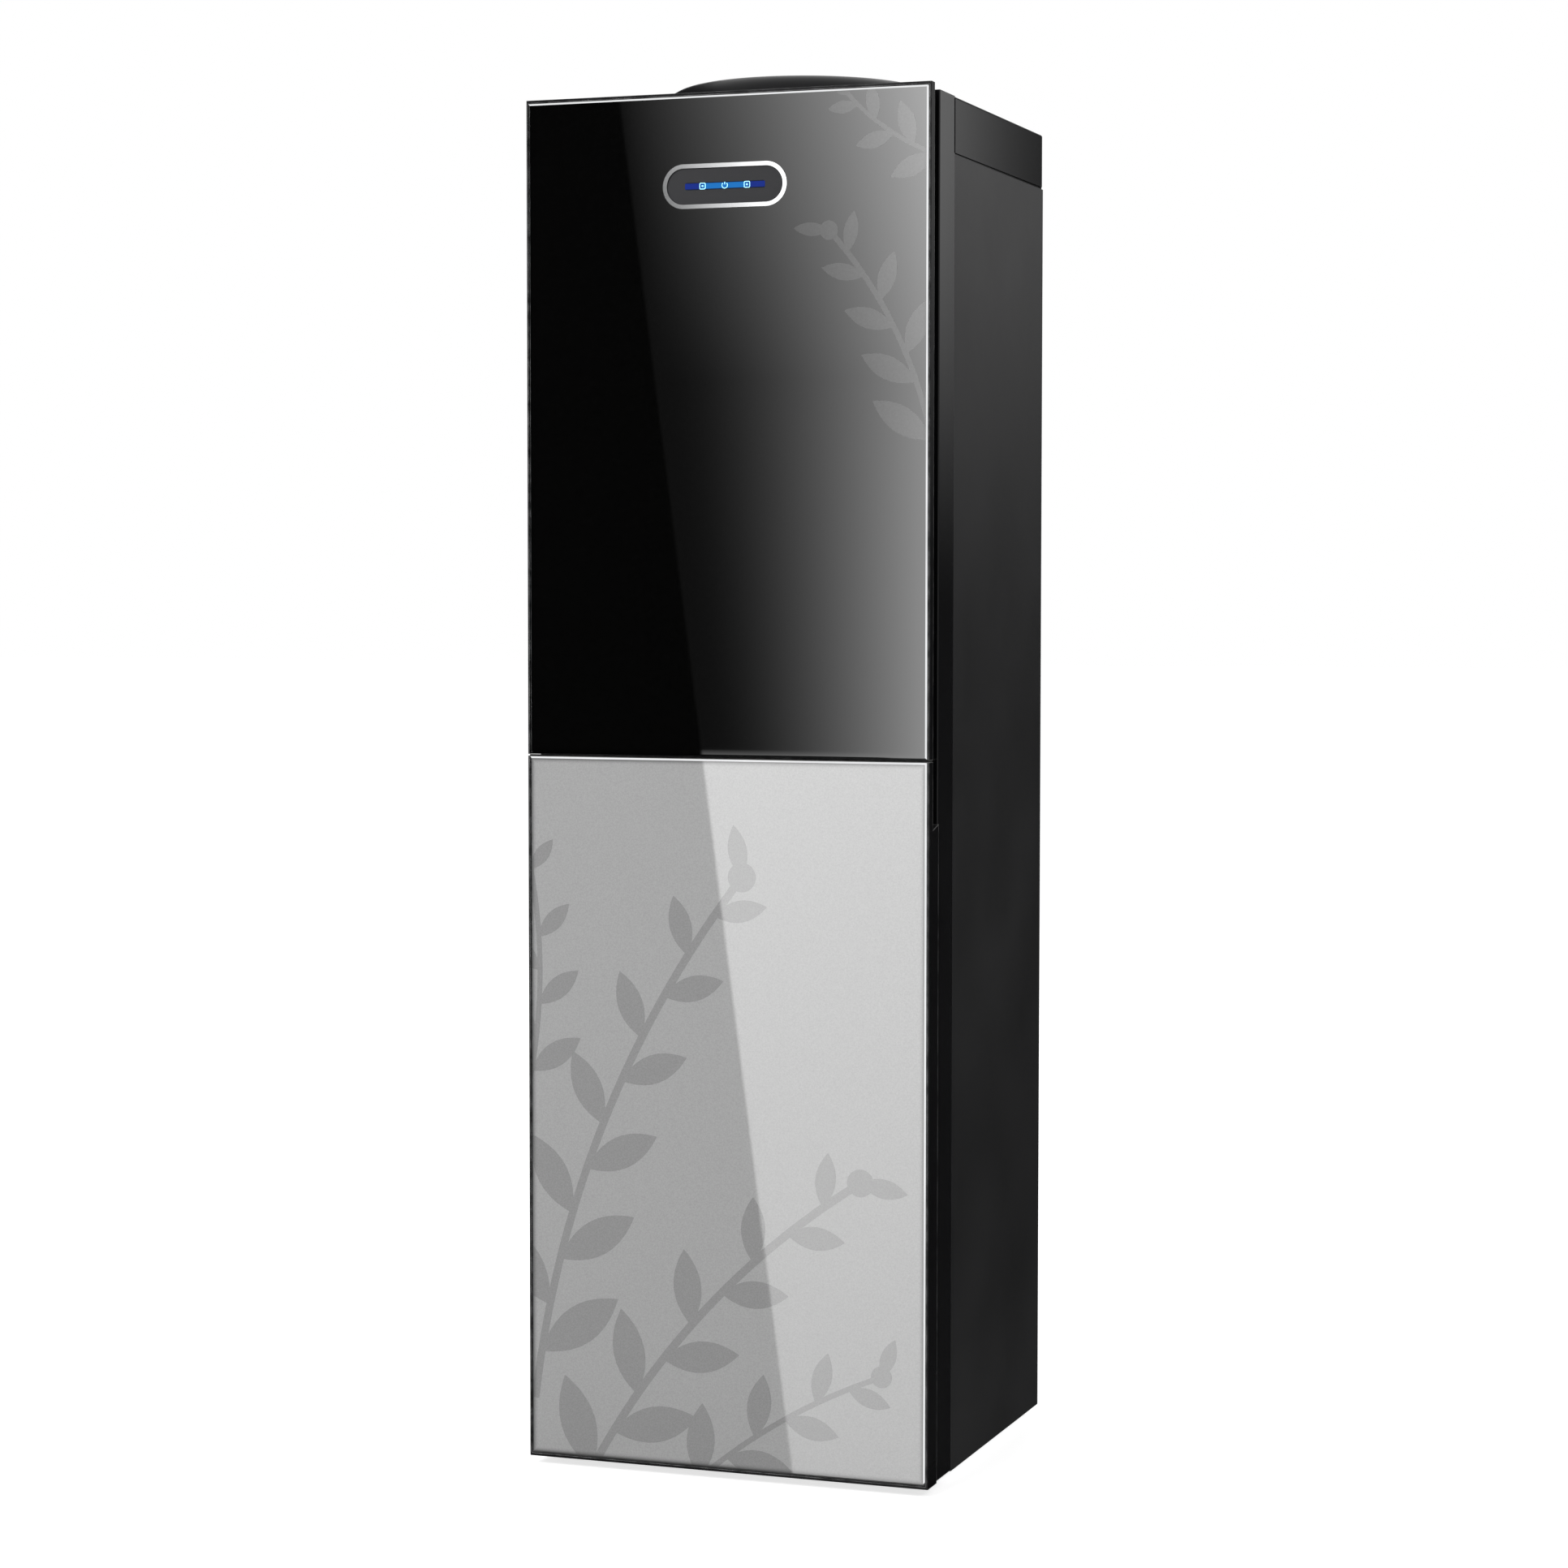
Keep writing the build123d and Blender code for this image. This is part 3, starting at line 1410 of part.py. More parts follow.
def switch_rocker(x):
    """A rocker tipped to its off side, with its trunnions."""
    tall = rocker_half_height
    outline = [(-rocker_fall, -tall), (rocker_rise, -tall), (rocker_valley, 0)]
    outline += [(rocker_rise, tall), (-rocker_fall, tall)]
    face = make_face(Plane.YZ * Polyline(*outline, close=True))
    rocker = extrude(face, rocker_width / 2, both=True)
    rocker = Pos(x, rocker_y, switch_z) * Rot(-rocker_tilt, 0, 0) * rocker
    return rocker + trunnion(x, trunnion_radius, trunnion_reach)


def control_board():
    """The relay board on standoffs inside the back panel."""
    x = panel_inner - control_side_room
    z = tank_shelf_top - control_drop
    wide, tall = control_size
    back = panel_front - control_standoff
    front = back - board_thickness
    board = block(around(x, wide), (front, back), around(z, tall))
    for post_x in spaced(x, wide - 2 * control_inset, 2):
        for post_z in spaced(z, tall - 2 * control_inset, 2):
            board += across(post_x, post_z, back, panel_front, control_standoff_radius)
    for size, offset in ((control_relay, -tall / 4), (control_transformer, tall / 5)):
        board += block(around(x, size[0]), (front - size[1], front), around(z + offset, size[2]))
    return board


def cord_gland():
    """The empty gland for the mains cord."""
    outer = gland_bore_radius + gland_wall
    end = panel_rear + gland_flange + gland_nose
    gland = across(0, gland_z, panel_front - gland_tail, end, outer)
    gland = fillet(gland.faces().sort_by(Axis.Y)[-1].edges(), gland_wall / 2)
    gland += across(0, gland_z, panel_rear, panel_rear + gland_flange, gland_flange_radius)
    return gland - across(0, gland_z, panel_front - gland_tail, end, gland_bore_radius)


line_hole = line_radius + apart
hose_hole = hose_radius + apart
capillary_hole = capillary_radius + apart
deck_holes = [(*suction_riser, line_hole), (*capillary_riser, capillary_hole)]
shelf_holes = [(*place, hose_hole) for place in (cold_outlet, feed_outlet)] + deck_holes

nodes = {
    "base_plate": base_plate(),
    "feet": feet(),
    "left_side_panel": side_panel(-1),
    "right_side_panel": side_panel(1),
    "back_panel": back_panel(),
    "casing_screws": casing_screws(),
    "machine_deck": inner_shelf(deck_top, deck_holes),
    "tank_shelf": inner_shelf(tank_shelf_top, shelf_holes),
    "front_frame": front_frame(),
    "door_magnets": door_magnets(),
    "top_cover": top_cover(),
    "bottle_collar": bottle_collar(),
    "bottle_spike": bottle_spike(),
    "tank_gasket": tank_gasket_ring(),
    "upper_door_frame": upper_door_frame(),
    "upper_glass": upper_glass(),
    "upper_door_cover": door_cover(upper_door_bottom, door_top, magnet_heights[1]),
    "upper_door_strike": block(*strike_limits(magnet_heights[1])),
    "indicator_ring": indicator_ring_piece(),
    "indicator_plate": indicator_plate(),
    "indicator_light_bar": light_bar_block(0, light_bar_front, light_bar_back),
    "indicator_board": indicator_board(),
    "lower_door_frame": lower_door_frame(),
    "lower_glass": door_glass(base_bottom, lower_door_top, door_lip_end, seam_lip),
    "lower_door_cover": door_cover(base_bottom, lower_door_top, magnet_heights[0]),
    "lower_door_strike": block(*strike_limits(magnet_heights[0])),
    "lower_door_seal": lower_door_seal(),
    "top_hinge_arm": top_hinge_arm(),
    "middle_hinge_arm": middle_hinge_arm(),
    "bottom_hinge_arm": bottom_hinge_arm(),
    "hinge_pins": hinge_pins(),
    "tap_niche": tap_niche(),
    "hot_tap_body": tap_body(hot_tap_x),
    "hot_tap_lever": hot_tap_lever(),
    "hot_lock_button": hot_lock_button(),
    "cold_tap_body": tap_body(cold_tap_x),
    "cold_tap_lever": tap_lever(cold_tap_x),
    "lever_pins": lever_pins(),
    "drip_tray": drip_tray(),
    "drip_grille": drip_grille(),
    "cabinet_liner": cabinet_liner(),
    "wire_rack": wire_rack(),
    "cold_tank": cold_tank(),
    "cold_tank_insulation": cold_tank_insulation(),
    "evaporator_coil": evaporator_coil(),
    "hot_tank": hot_tank(),
    "hot_tank_bracket": hot_tank_bracket(),
    "water_hoses": group((cold_hose(), hot_hose(), feed_hose(), drain_hose())),
    "drain_spout": drain_spout(),
    "drain_cap": drain_cap(),
    "compressor": compressor(),
    "compressor_mounts": compressor_mounts(),
    "relay_box": relay_box(),
    "condenser": group((condenser_tube(), condenser_wires(), condenser_brackets())),
    "refrigerant_lines": group((filter_drier(), discharge_line(), suction_line(), capillary())),
    "switch_bodies": group(switch_body_piece(x) for x in switch_places()),
    "hot_switch_rocker": switch_rocker(switch_places()[0]),
    "cold_switch_rocker": switch_rocker(switch_places()[1]),
    "control_board": control_board(),
    "cord_gland": cord_gland(),
}

os.makedirs("parts", exist_ok=True)
for name, shape in nodes.items():
    export_step(shape, f"parts/{name}.step")
    print(name, len(shape.solids()), round(shape.volume))
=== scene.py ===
# %% [markdown]
# # A bottled-water dispenser with two glass doors
#
# The construction comes ready made: every solid piece sits where it belongs, in metres, with the front
# towards -Y. This lesson gives those pieces their finishes, adds the thin and repeated things that are
# easier to grow in Blender than to build as solids, and sets up a small photo studio around them.

# %% Load the frame
from math import cos, pi, radians, sin

import bmesh
import bpy
from mathutils import Matrix, Vector


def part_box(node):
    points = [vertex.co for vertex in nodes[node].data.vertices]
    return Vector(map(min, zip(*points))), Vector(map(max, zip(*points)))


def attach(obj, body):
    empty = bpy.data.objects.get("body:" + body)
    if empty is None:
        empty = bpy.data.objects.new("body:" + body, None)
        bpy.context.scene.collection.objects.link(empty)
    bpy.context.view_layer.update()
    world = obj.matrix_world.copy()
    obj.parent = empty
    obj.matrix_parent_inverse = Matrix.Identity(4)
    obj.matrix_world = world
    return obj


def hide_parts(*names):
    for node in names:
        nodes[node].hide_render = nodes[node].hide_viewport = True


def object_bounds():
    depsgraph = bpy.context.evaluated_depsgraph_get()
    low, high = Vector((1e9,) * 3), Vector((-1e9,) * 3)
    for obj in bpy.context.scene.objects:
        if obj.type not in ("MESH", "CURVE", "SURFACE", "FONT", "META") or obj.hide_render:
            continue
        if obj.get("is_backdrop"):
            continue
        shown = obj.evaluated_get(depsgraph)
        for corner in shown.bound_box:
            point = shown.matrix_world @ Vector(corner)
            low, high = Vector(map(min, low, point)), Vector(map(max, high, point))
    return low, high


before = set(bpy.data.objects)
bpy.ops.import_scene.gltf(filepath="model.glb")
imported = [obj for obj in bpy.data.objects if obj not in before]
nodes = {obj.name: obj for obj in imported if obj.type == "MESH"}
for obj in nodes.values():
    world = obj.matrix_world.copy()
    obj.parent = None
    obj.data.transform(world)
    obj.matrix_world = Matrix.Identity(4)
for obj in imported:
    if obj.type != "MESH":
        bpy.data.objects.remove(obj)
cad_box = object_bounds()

MM = 0.001

# %% [markdown]
# ## Small helpers for node trees
#
# Shaders and Geometry Nodes are built the same way: add a node, set its sockets, link it. One helper adds a
# node with its settings and either fixed values or links for its inputs, so that each tree below reads
# like a recipe. A group keeps an effect that several materials share.

# %% Node helpers
def add(tree, kind, settings=None, **inputs):
    """Add a node; an input given as a socket is linked, any other value is set."""
    node = tree.nodes.new(kind)
    for key, value in (settings or {}).items():
        setattr(node, key, value)
    for key, value in inputs.items():
        feed(tree, node.inputs[key.replace("_", " ")], value)
    return node


def feed(tree, socket, value):
    """Link a socket into this one, or set its value."""
    if isinstance(value, bpy.types.NodeSocket):
        tree.links.new(value, socket)
    else:
        socket.default_value = value


def new_group(name, kind, inputs, outputs):
    """A node group with named sockets; each input is a (name, type, default) row."""
    group = bpy.data.node_groups.new(name, kind)
    for label, socket_type, default in inputs:
        socket = group.interface.new_socket(label, in_out="INPUT", socket_type=socket_type)
        if default is not None:
            socket.default_value = default
    for label, socket_type in outputs:
        group.interface.new_socket(label, in_out="OUTPUT", socket_type=socket_type)
    return group, group.nodes.new("NodeGroupInput").outputs, group.nodes.new("NodeGroupOutput").inputs


def math(tree, operation, first, second=0.0, clamp=False):
    """One arithmetic step between sockets or numbers."""
    node = tree.nodes.new("ShaderNodeMath")
    node.operation = operation
    node.use_clamp = clamp
    feed(tree, node.inputs[0], first)
    feed(tree, node.inputs[1], second)
    return node.outputs[0]


def ramp(tree, value, low, high, to_low=0.0, to_high=1.0):
    """Map a value from one range to another and hold it at the ends."""
    node = tree.nodes.new("ShaderNodeMapRange")
    for socket, number in zip(node.inputs, (value, low, high, to_low, to_high)):
        feed(tree, socket, number)
    return node.outputs[0]


def blend_colour(tree, factor, first, second):
    """Mix two colours by a factor socket."""
    node = tree.nodes.new("ShaderNodeMix")
    node.data_type = "RGBA"
    for index, value in ((0, factor), (6, first), (7, second)):
        feed(tree, node.inputs[index], value)
    return node.outputs[2]


def grey(value):
    """A neutral colour with its alpha."""
    return (value, value, value, 1.0)


def object_place(tree):
    """The place on a piece, in the piece's own coordinates."""
    return add(tree, "ShaderNodeTexCoord").outputs["Object"]


def parts_of(tree, vector):
    """The X, Y and Z of a vector."""
    return add(tree, "ShaderNodeSeparateXYZ", Vector=vector).outputs


FLOAT, VECTOR = "NodeSocketFloat", "NodeSocketVector"
print("node helpers ready")

# %% [markdown]
# ## Effects that many finishes share
#
# No real surface is one flat colour. Moulded plastic has a fine spark-eroded grain and broad, faint clouds
# where hands and cloths have polished it; corners rub lighter; dust settles on what faces up. The mask of
# the rubbed corners also carries a painted highlight on the door frames. Each effect is a shader group that
# puts out plain masks and heights, and each material decides what to do with them.
# The coordinates are the piece's own, so that nothing slides when a door swings.

# %% Grain, wear, dust and brushing
def build_grain():
    """Fine grain for the bump and broad clouds for colour and gloss."""
    tree, given, result = new_group(
        "surface_grain", "ShaderNodeTree",
        [("Grain per metre", FLOAT, 1400.0), ("Clouds per metre", FLOAT, 7.0)],
        [("Height", FLOAT), ("Cloud", FLOAT)],
    )
    place = object_place(tree)
    fine = add(tree, "ShaderNodeTexNoise", Vector=place, Scale=given["Grain per metre"], Detail=2.0)
    broad = add(tree, "ShaderNodeTexNoise", Vector=place, Scale=given["Clouds per metre"], Detail=4.0)
    feed(tree, result["Height"], fine.outputs[0])
    feed(tree, result["Cloud"], ramp(tree, broad.outputs[0], 0.3, 0.7))
    return tree


def build_wear():
    """A mask of the edges, broken up so that it looks rubbed and not drawn; it gives rubbed wear, and on the
    door frames mostly a painted highlight.
    """
    tree, given, result = new_group(
        "worn_and_highlit_edges", "ShaderNodeTree", [("Radius", FLOAT, 0.0012), ("Amount", FLOAT, 1.0)], [("Mask", FLOAT)]
    )
    soft = add(tree, "ShaderNodeBevel", {"samples": 6}, Radius=given["Radius"]).outputs["Normal"]
    sharp = add(tree, "ShaderNodeNewGeometry").outputs["Normal"]
    dot = tree.nodes.new("ShaderNodeVectorMath")
    dot.operation = "DOT_PRODUCT"
    feed(tree, dot.inputs[0], soft)
    feed(tree, dot.inputs[1], sharp)
    edge = ramp(tree, dot.outputs["Value"], 0.985, 0.86)
    place = object_place(tree)
    patchy = add(tree, "ShaderNodeTexNoise", Vector=place, Scale=90.0, Detail=3.0).outputs[0]
    rubbed = math(tree, "MULTIPLY", edge, ramp(tree, patchy, 0.35, 0.6, 0.25, 1.0))
    feed(tree, result["Mask"], math(tree, "MULTIPLY", rubbed, given["Amount"], clamp=True))
    return tree


def build_dust():
    """A faint veil on what faces up."""
    tree, given, result = new_group(
        "settled_dust", "ShaderNodeTree", [("Amount", FLOAT, 0.2)], [("Mask", FLOAT)]
    )
    coordinates = add(tree, "ShaderNodeTexCoord")
    up = parts_of(tree, coordinates.outputs["Normal"])["Z"]
    specks = add(tree, "ShaderNodeTexNoise", Vector=coordinates.outputs["Object"], Scale=60.0, Detail=5.0)
    veil = math(tree, "MULTIPLY", ramp(tree, up, 0.5, 1.0), ramp(tree, specks.outputs[0], 0.35, 0.7))
    feed(tree, result["Mask"], math(tree, "MULTIPLY", veil, given["Amount"], clamp=True))
    return tree


def build_brushing():
    """Long fine scratches along one axis, as a belt leaves on steel."""
    tree, given, result = new_group(
        "brushed_lines", "ShaderNodeTree", [("Stretch", VECTOR, (900.0, 900.0, 12.0))], [("Streak", FLOAT)]
    )
    place = object_place(tree)
    stretched = add(tree, "ShaderNodeMapping", Vector=place, Scale=given["Stretch"]).outputs[0]
    lines = add(tree, "ShaderNodeTexNoise", Vector=stretched, Scale=1.0, Detail=3.0).outputs[0]
    feed(tree, result["Streak"], ramp(tree, lines, 0.3, 0.7))
    return tree


effects = {
    "grain": build_grain(),
    "wear_and_highlight": build_wear(),
    "dust": build_dust(),
    "brushing": build_brushing(),
}


def effect(tree, name, **inputs):
    """Place a shared effect in a material with its own values."""
    node = tree.nodes.new("ShaderNodeGroup")
    node.node_tree = effects[name]
    for key, value in inputs.items():
        feed(tree, node.inputs[key.replace("_", " ")], value)
    return node.outputs


print("shared effects:", ", ".join(effects))

# %% [markdown]
# ## Plastics, paint and rubber
#
# One recipe covers everything that is moulded or sprayed: a base colour with faint clouds, lighter edges
# (rubbed wear, and on the door frames mostly a painted highlight), a little dust, a roughness that follows
# the clouds, and a grain that only shows where light rakes across it. What changes from piece to piece is
# how dark, how glossy and how coarse it is.

# %% Sprayed and moulded finishes
def new_material(name):
    """A material with its Principled shader."""
    material = bpy.data.materials.new(name)
    material.use_nodes = True
    return material, material.node_tree, material.node_tree.nodes["Principled BSDF"]


def roughen(tree, shader, cloud, low, high):
    """Let the gloss drift with the clouds."""
    feed(tree, shader.inputs["Roughness"], ramp(tree, cloud, 0.0, 1.0, low, high))


def emboss(tree, shader, height, strength, distance):
    """Raise the grain as a bump."""
    bump = add(tree, "ShaderNodeBump", Strength=strength, Distance=distance, Height=height)
    feed(tree, shader.inputs["Normal"], bump.outputs[0])


def moulded(name, colour, roughness, grain=1400.0, depth=0.15, wear_and_highlight=0.35, dust=0.06,
            lift=1.35, specular=0.5, edge=0.02):
    """A moulded or sprayed finish; lift and edge are how much lighter its clouds and its edges are; the
    lighter edges are rubbed wear, and on the door frames mostly a painted highlight.
    """
    material, tree, shader = new_material(name)
    surface = effect(tree, "grain", Grain_per_metre=grain)
    light = tuple(min(1.0, part * lift + 0.002) for part in colour) + (1.0,)
    # Lighter edges: rubbed wear, and on the door frames mostly a painted highlight.
    wear_and_highlight_tone = tuple(min(1.0, part * 2.2 + edge) for part in colour) + (1.0,)
    shade = blend_colour(tree, surface["Cloud"], tuple(colour) + (1.0,), light)
    shade = blend_colour(tree, effect(tree, "wear_and_highlight", Amount=wear_and_highlight)["Mask"], shade, wear_and_highlight_tone)
    shade = blend_colour(tree, effect(tree, "dust", Amount=dust)["Mask"], shade, grey(0.45))
    feed(tree, shader.inputs["Base Color"], shade)
    roughen(tree, shader, surface["Cloud"], roughness * 0.88, roughness * 1.12)
    shader.inputs["Specular IOR Level"].default_value = specular
    emboss(tree, shader, surface["Height"], depth, 0.00015)
    return material


recipes = {
    # The light edges of the door frames are mostly a painted highlight along their front and grip edges.
    "door_frame_black": ((0.004, 0.004, 0.0045), 0.26,
                         dict(depth=0.04, wear_and_highlight=0.8, lift=1.2, specular=0.06, edge=0.3)),
    "front_frame_black": ((0.004, 0.004, 0.0045), 0.11,
                          dict(grain=2200.0, depth=0.04, wear_and_highlight=0.3, lift=1.2, specular=0.2)),
    "cap_black": ((0.005, 0.005, 0.0055), 0.07,
                  dict(grain=2400.0, depth=0.03, wear_and_highlight=0.25, dust=0.01, lift=1.12, specular=0.07)),
    "collar_black": ((0.005, 0.005, 0.0055), 0.3,
                     dict(grain=2400.0, wear_and_highlight=0.2, dust=0.01, lift=1.12, specular=0.1)),
    "panel_paint": ((0.007, 0.007, 0.0075), 0.45,
                    dict(grain=520.0, depth=0.1, wear_and_highlight=0.2, dust=0.02, lift=1.1, specular=0.6)),
    "back_paint": ((0.016, 0.016, 0.017), 0.5, dict(grain=520.0, depth=0.12, dust=0.04, lift=1.15)),
    "wire_paint": ((0.008, 0.008, 0.008), 0.38, dict(grain=900.0, dust=0.15)),
    "niche_plastic": ((0.05, 0.05, 0.054), 0.4, dict(grain=1700.0, depth=0.2)),
    "liner_plastic": ((0.7, 0.71, 0.72), 0.32, dict(depth=0.1, lift=1.05, wear_and_highlight=0.0)),
    "cover_plastic": ((0.075, 0.075, 0.08), 0.45, dict(grain=1900.0, depth=0.25)),
    "grille_plastic": ((0.16, 0.165, 0.17), 0.35, dict(depth=0.12)),
    "tap_plastic": ((0.72, 0.72, 0.7), 0.18, dict(depth=0.05, lift=1.05, wear_and_highlight=0.0)),
    "hot_red": ((0.5, 0.012, 0.012), 0.2, dict(depth=0.06, lift=1.2, wear_and_highlight=0.15)),
    "cold_blue": ((0.008, 0.06, 0.42), 0.2, dict(depth=0.06, lift=1.2, wear_and_highlight=0.15)),
    "rocker_green": ((0.015, 0.26, 0.05), 0.22, dict(depth=0.06, lift=1.2, wear_and_highlight=0.15)),
    "plate_grey": ((0.034, 0.034, 0.036), 0.62, dict(grain=2600.0, wear_and_highlight=0.1, lift=1.12, specular=0.1)),
    "rubber": ((0.013, 0.013, 0.013), 0.72, dict(grain=800.0, depth=0.3, dust=0.2)),
    "silicone": ((0.62, 0.62, 0.58), 0.38, dict(depth=0.06, lift=1.1, wear_and_highlight=0.0)),
    "shell_enamel": ((0.006, 0.006, 0.006), 0.2, dict(grain=260.0, depth=0.15, dust=0.2)),
    "magnet_ferrite": ((0.03, 0.03, 0.033), 0.6, dict(grain=700.0, depth=0.3)),
}
finish = {name: moulded(name, colour, gloss, **more) for name, (colour, gloss, more) in recipes.items()}
print(len(finish), "moulded and sprayed finishes")

# %% [markdown]
# ## Metals
#
# Bare steel shows the belt that brushed it, drawn copper has gone dull in patches, and bright trim is
# nearly a mirror. All three are metallic throughout, so only colour, roughness and bump change over
# the surface.

# %% Metals
def brushed(name, colour, roughness, stretch, depth=0.08):
    """A metal with fine lines along one axis."""
    material, tree, shader = new_material(name)
    streak = effect(tree, "brushing", Stretch=stretch)["Streak"]
    cloud = effect(tree, "grain", Clouds_per_metre=14.0)["Cloud"]
    dark = tuple(part * 0.82 for part in colour) + (1.0,)
    tone = blend_colour(tree, cloud, dark, tuple(colour) + (1.0,))
    tone = blend_colour(tree, effect(tree, "dust", Amount=0.1)["Mask"], tone, grey(0.4))
    feed(tree, shader.inputs["Base Color"], tone)
    shader.inputs["Metallic"].default_value = 1.0
    roughen(tree, shader, streak, roughness * 0.75, roughness * 1.25)
    emboss(tree, shader, streak, depth, 0.00005)
    return material


finish["zinc"] = brushed("zinc", (0.5, 0.51, 0.52), 0.38, (220.0, 220.0, 220.0), 0.12)
finish["dark_zinc"] = brushed("dark_zinc", (0.17, 0.17, 0.18), 0.42, (220.0, 220.0, 220.0), 0.12)
finish["stainless"] = brushed("stainless", (0.6, 0.6, 0.59), 0.3, (40.0, 40.0, 1600.0))
finish["copper"] = brushed("copper", (0.75, 0.36, 0.22), 0.28, (300.0, 300.0, 300.0))
finish["bright_wire"] = brushed("bright_wire", (0.78, 0.79, 0.8), 0.12, (500.0, 500.0, 60.0), 0.03)
finish["silver_ring"] = brushed("silver_ring", (0.6, 0.605, 0.61), 0.08, (60.0, 60.0, 2400.0), 0.03)
print("metals ready:", [name for name in finish][-6:])

# %% [markdown]
# ## Foam, circuit boards and the light bar
#
# Three finishes need recipes of their own: the beaded foam round the cold tank, the green boards with
# their fine tracks, and the blue bar that glows from three lamps behind it.

# %% Foam, boards and light
def bead_foam():
    """Expanded beads, from Voronoi cells."""
    material, tree, shader = new_material("bead_foam")
    place = object_place(tree)
    cells = add(tree, "ShaderNodeTexVoronoi", Vector=place, Scale=320.0).outputs["Distance"]
    seam = ramp(tree, cells, 0.25, 0.75)
    feed(tree, shader.inputs["Base Color"], blend_colour(tree, seam, grey(0.85), grey(0.62)))
    feed(tree, shader.inputs["Roughness"], ramp(tree, seam, 0.0, 1.0, 0.7, 0.9))
    emboss(tree, shader, math(tree, "SUBTRACT", 1.0, seam), 0.4, 0.0004)
    return material


def circuit_board():
    """Solder mask over square copper tracks."""
    material, tree, shader = new_material("circuit_board")
    place = object_place(tree)
    tracks = add(tree, "ShaderNodeTexBrick", Vector=place, Scale=140.0, Mortar_Size=0.03)
    feed(tree, shader.inputs["Base Color"],
         blend_colour(tree, tracks.outputs["Fac"], (0.012, 0.11, 0.04, 1.0), (0.05, 0.26, 0.08, 1.0)))
    cloud = effect(tree, "grain")["Cloud"]
    roughen(tree, shader, cloud, 0.25, 0.4)
    emboss(tree, shader, tracks.outputs["Fac"], 0.2, 0.0001)
    return material


def light_bar():
    """A blue bar, brightest between its outer lamps, deep blue at both ends, with painted shade along its top
    and bottom edges.
    """
    material, tree, shader = new_material("light_bar")
    place = object_place(tree)
    apart = parts_of(tree, place)
    outer = ramp(tree, math(tree, "ABSOLUTE", apart["X"]), 15 * MM, 20 * MM)
    glow = blend_colour(tree, outer, (0.01, 0.17, 0.52, 1.0), (0.006, 0.022, 0.22, 1.0))
    low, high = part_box("indicator_light_bar")
    # Painted shade: the glow fades to near black along the top and bottom edges of the bar.
    rise = math(tree, "ABSOLUTE", math(tree, "SUBTRACT", apart["Z"], (low.z + high.z) / 2))
    glow = blend_colour(tree, ramp(tree, rise, 1.8 * MM, 2.2 * MM), glow, (0.004, 0.008, 0.02, 1.0))
    frosted = add(tree, "ShaderNodeTexNoise", Vector=place, Scale=700.0).outputs[0]
    unlit = blend_colour(tree, frosted, grey(0.002), (0.002, 0.006, 0.03, 1.0))
    feed(tree, shader.inputs["Base Color"], unlit)
    feed(tree, shader.inputs["Emission Color"], glow)
    shader.inputs["Emission Strength"].default_value = 1.0
    shader.inputs["Specular IOR Level"].default_value = 0.06
    feed(tree, shader.inputs["Roughness"], ramp(tree, frosted, 0.0, 1.0, 0.35, 0.5))
    return material


finish["bead_foam"] = bead_foam()
finish["circuit_board"] = circuit_board()
finish["light_bar"] = light_bar()
print(len(finish), "finishes so far")

# %% [markdown]
# ## Back-painted glass
#
# The panes are clear glass painted on the back, so the colour lies deep and the gloss on top. A coat over
# a matt base does that without tracing rays through the pane. The silver paint holds metal flakes, so it
# sparkles a little. Near its edge each pane is darker, which is painted shade.
# The design that is printed on the panes later on is the same paint in another tone.

# %% Glass
def build_pane_edge():
    """A mask that rises over a narrow band inside the edge of a pane, where shade is painted."""
    tree, given, result = new_group(
        "pane_edge_shade", "ShaderNodeTree",
        [("Half width", FLOAT, 0.15), ("Bottom", FLOAT, 0.0), ("Top", FLOAT, 1.0), ("Band", FLOAT, 0.004)],
        [("Mask", FLOAT)],
    )
    place = parts_of(tree, object_place(tree))
    side = math(tree, "SUBTRACT", given["Half width"], math(tree, "ABSOLUTE", place["X"]))
    end = math(tree, "MINIMUM", math(tree, "SUBTRACT", place["Z"], given["Bottom"]),
               math(tree, "SUBTRACT", given["Top"], place["Z"]))
    inside = math(tree, "DIVIDE", math(tree, "MINIMUM", side, end), given["Band"])
    feed(tree, result["Mask"], ramp(tree, inside, 1.0, 0.0))
    return tree


effects["pane_edge_shade"] = build_pane_edge()
GLASS_BEVEL = 1.6 * MM


def pane_limits(node):
    """Half width, bottom and top of the flat front of a pane, inside its bevel."""
    low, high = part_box(node)
    return high.x - GLASS_BEVEL, low.z + GLASS_BEVEL, high.z - GLASS_BEVEL


def back_painted(name, node, dark, light, edge, flakes):
    """Paint of two close tones under a clear coat; edge is a painted shade that darkens it near the edge of
    the pane.
    """
    material, tree, shader = new_material(name)
    place = object_place(tree)
    specks = add(tree, "ShaderNodeTexNoise", Vector=place, Scale=flakes, Detail=3.0, Roughness=0.7)
    sparkle = specks.outputs[0]
    tone = blend_colour(tree, ramp(tree, sparkle, 0.32, 0.68), dark, light)
    half, bottom, top = pane_limits(node)
    # Painted shade: the pane darkens towards its edge.
    painted_edge_shade = effect(tree, "pane_edge_shade", Half_width=half, Bottom=bottom, Top=top)["Mask"]
    tone = blend_colour(tree, math(tree, "POWER", painted_edge_shade, 2.0), tone, edge)
    feed(tree, shader.inputs["Base Color"], tone)
    feed(tree, shader.inputs["Roughness"], ramp(tree, sparkle, 0.3, 0.7, 0.42, 0.55))
    shader.inputs["Specular IOR Level"].default_value = 0.0
    shader.inputs["Coat Weight"].default_value = 1.0
    shader.inputs["Coat Roughness"].default_value = 0.015
    shader.inputs["Coat IOR"].default_value = 1.5
    return material


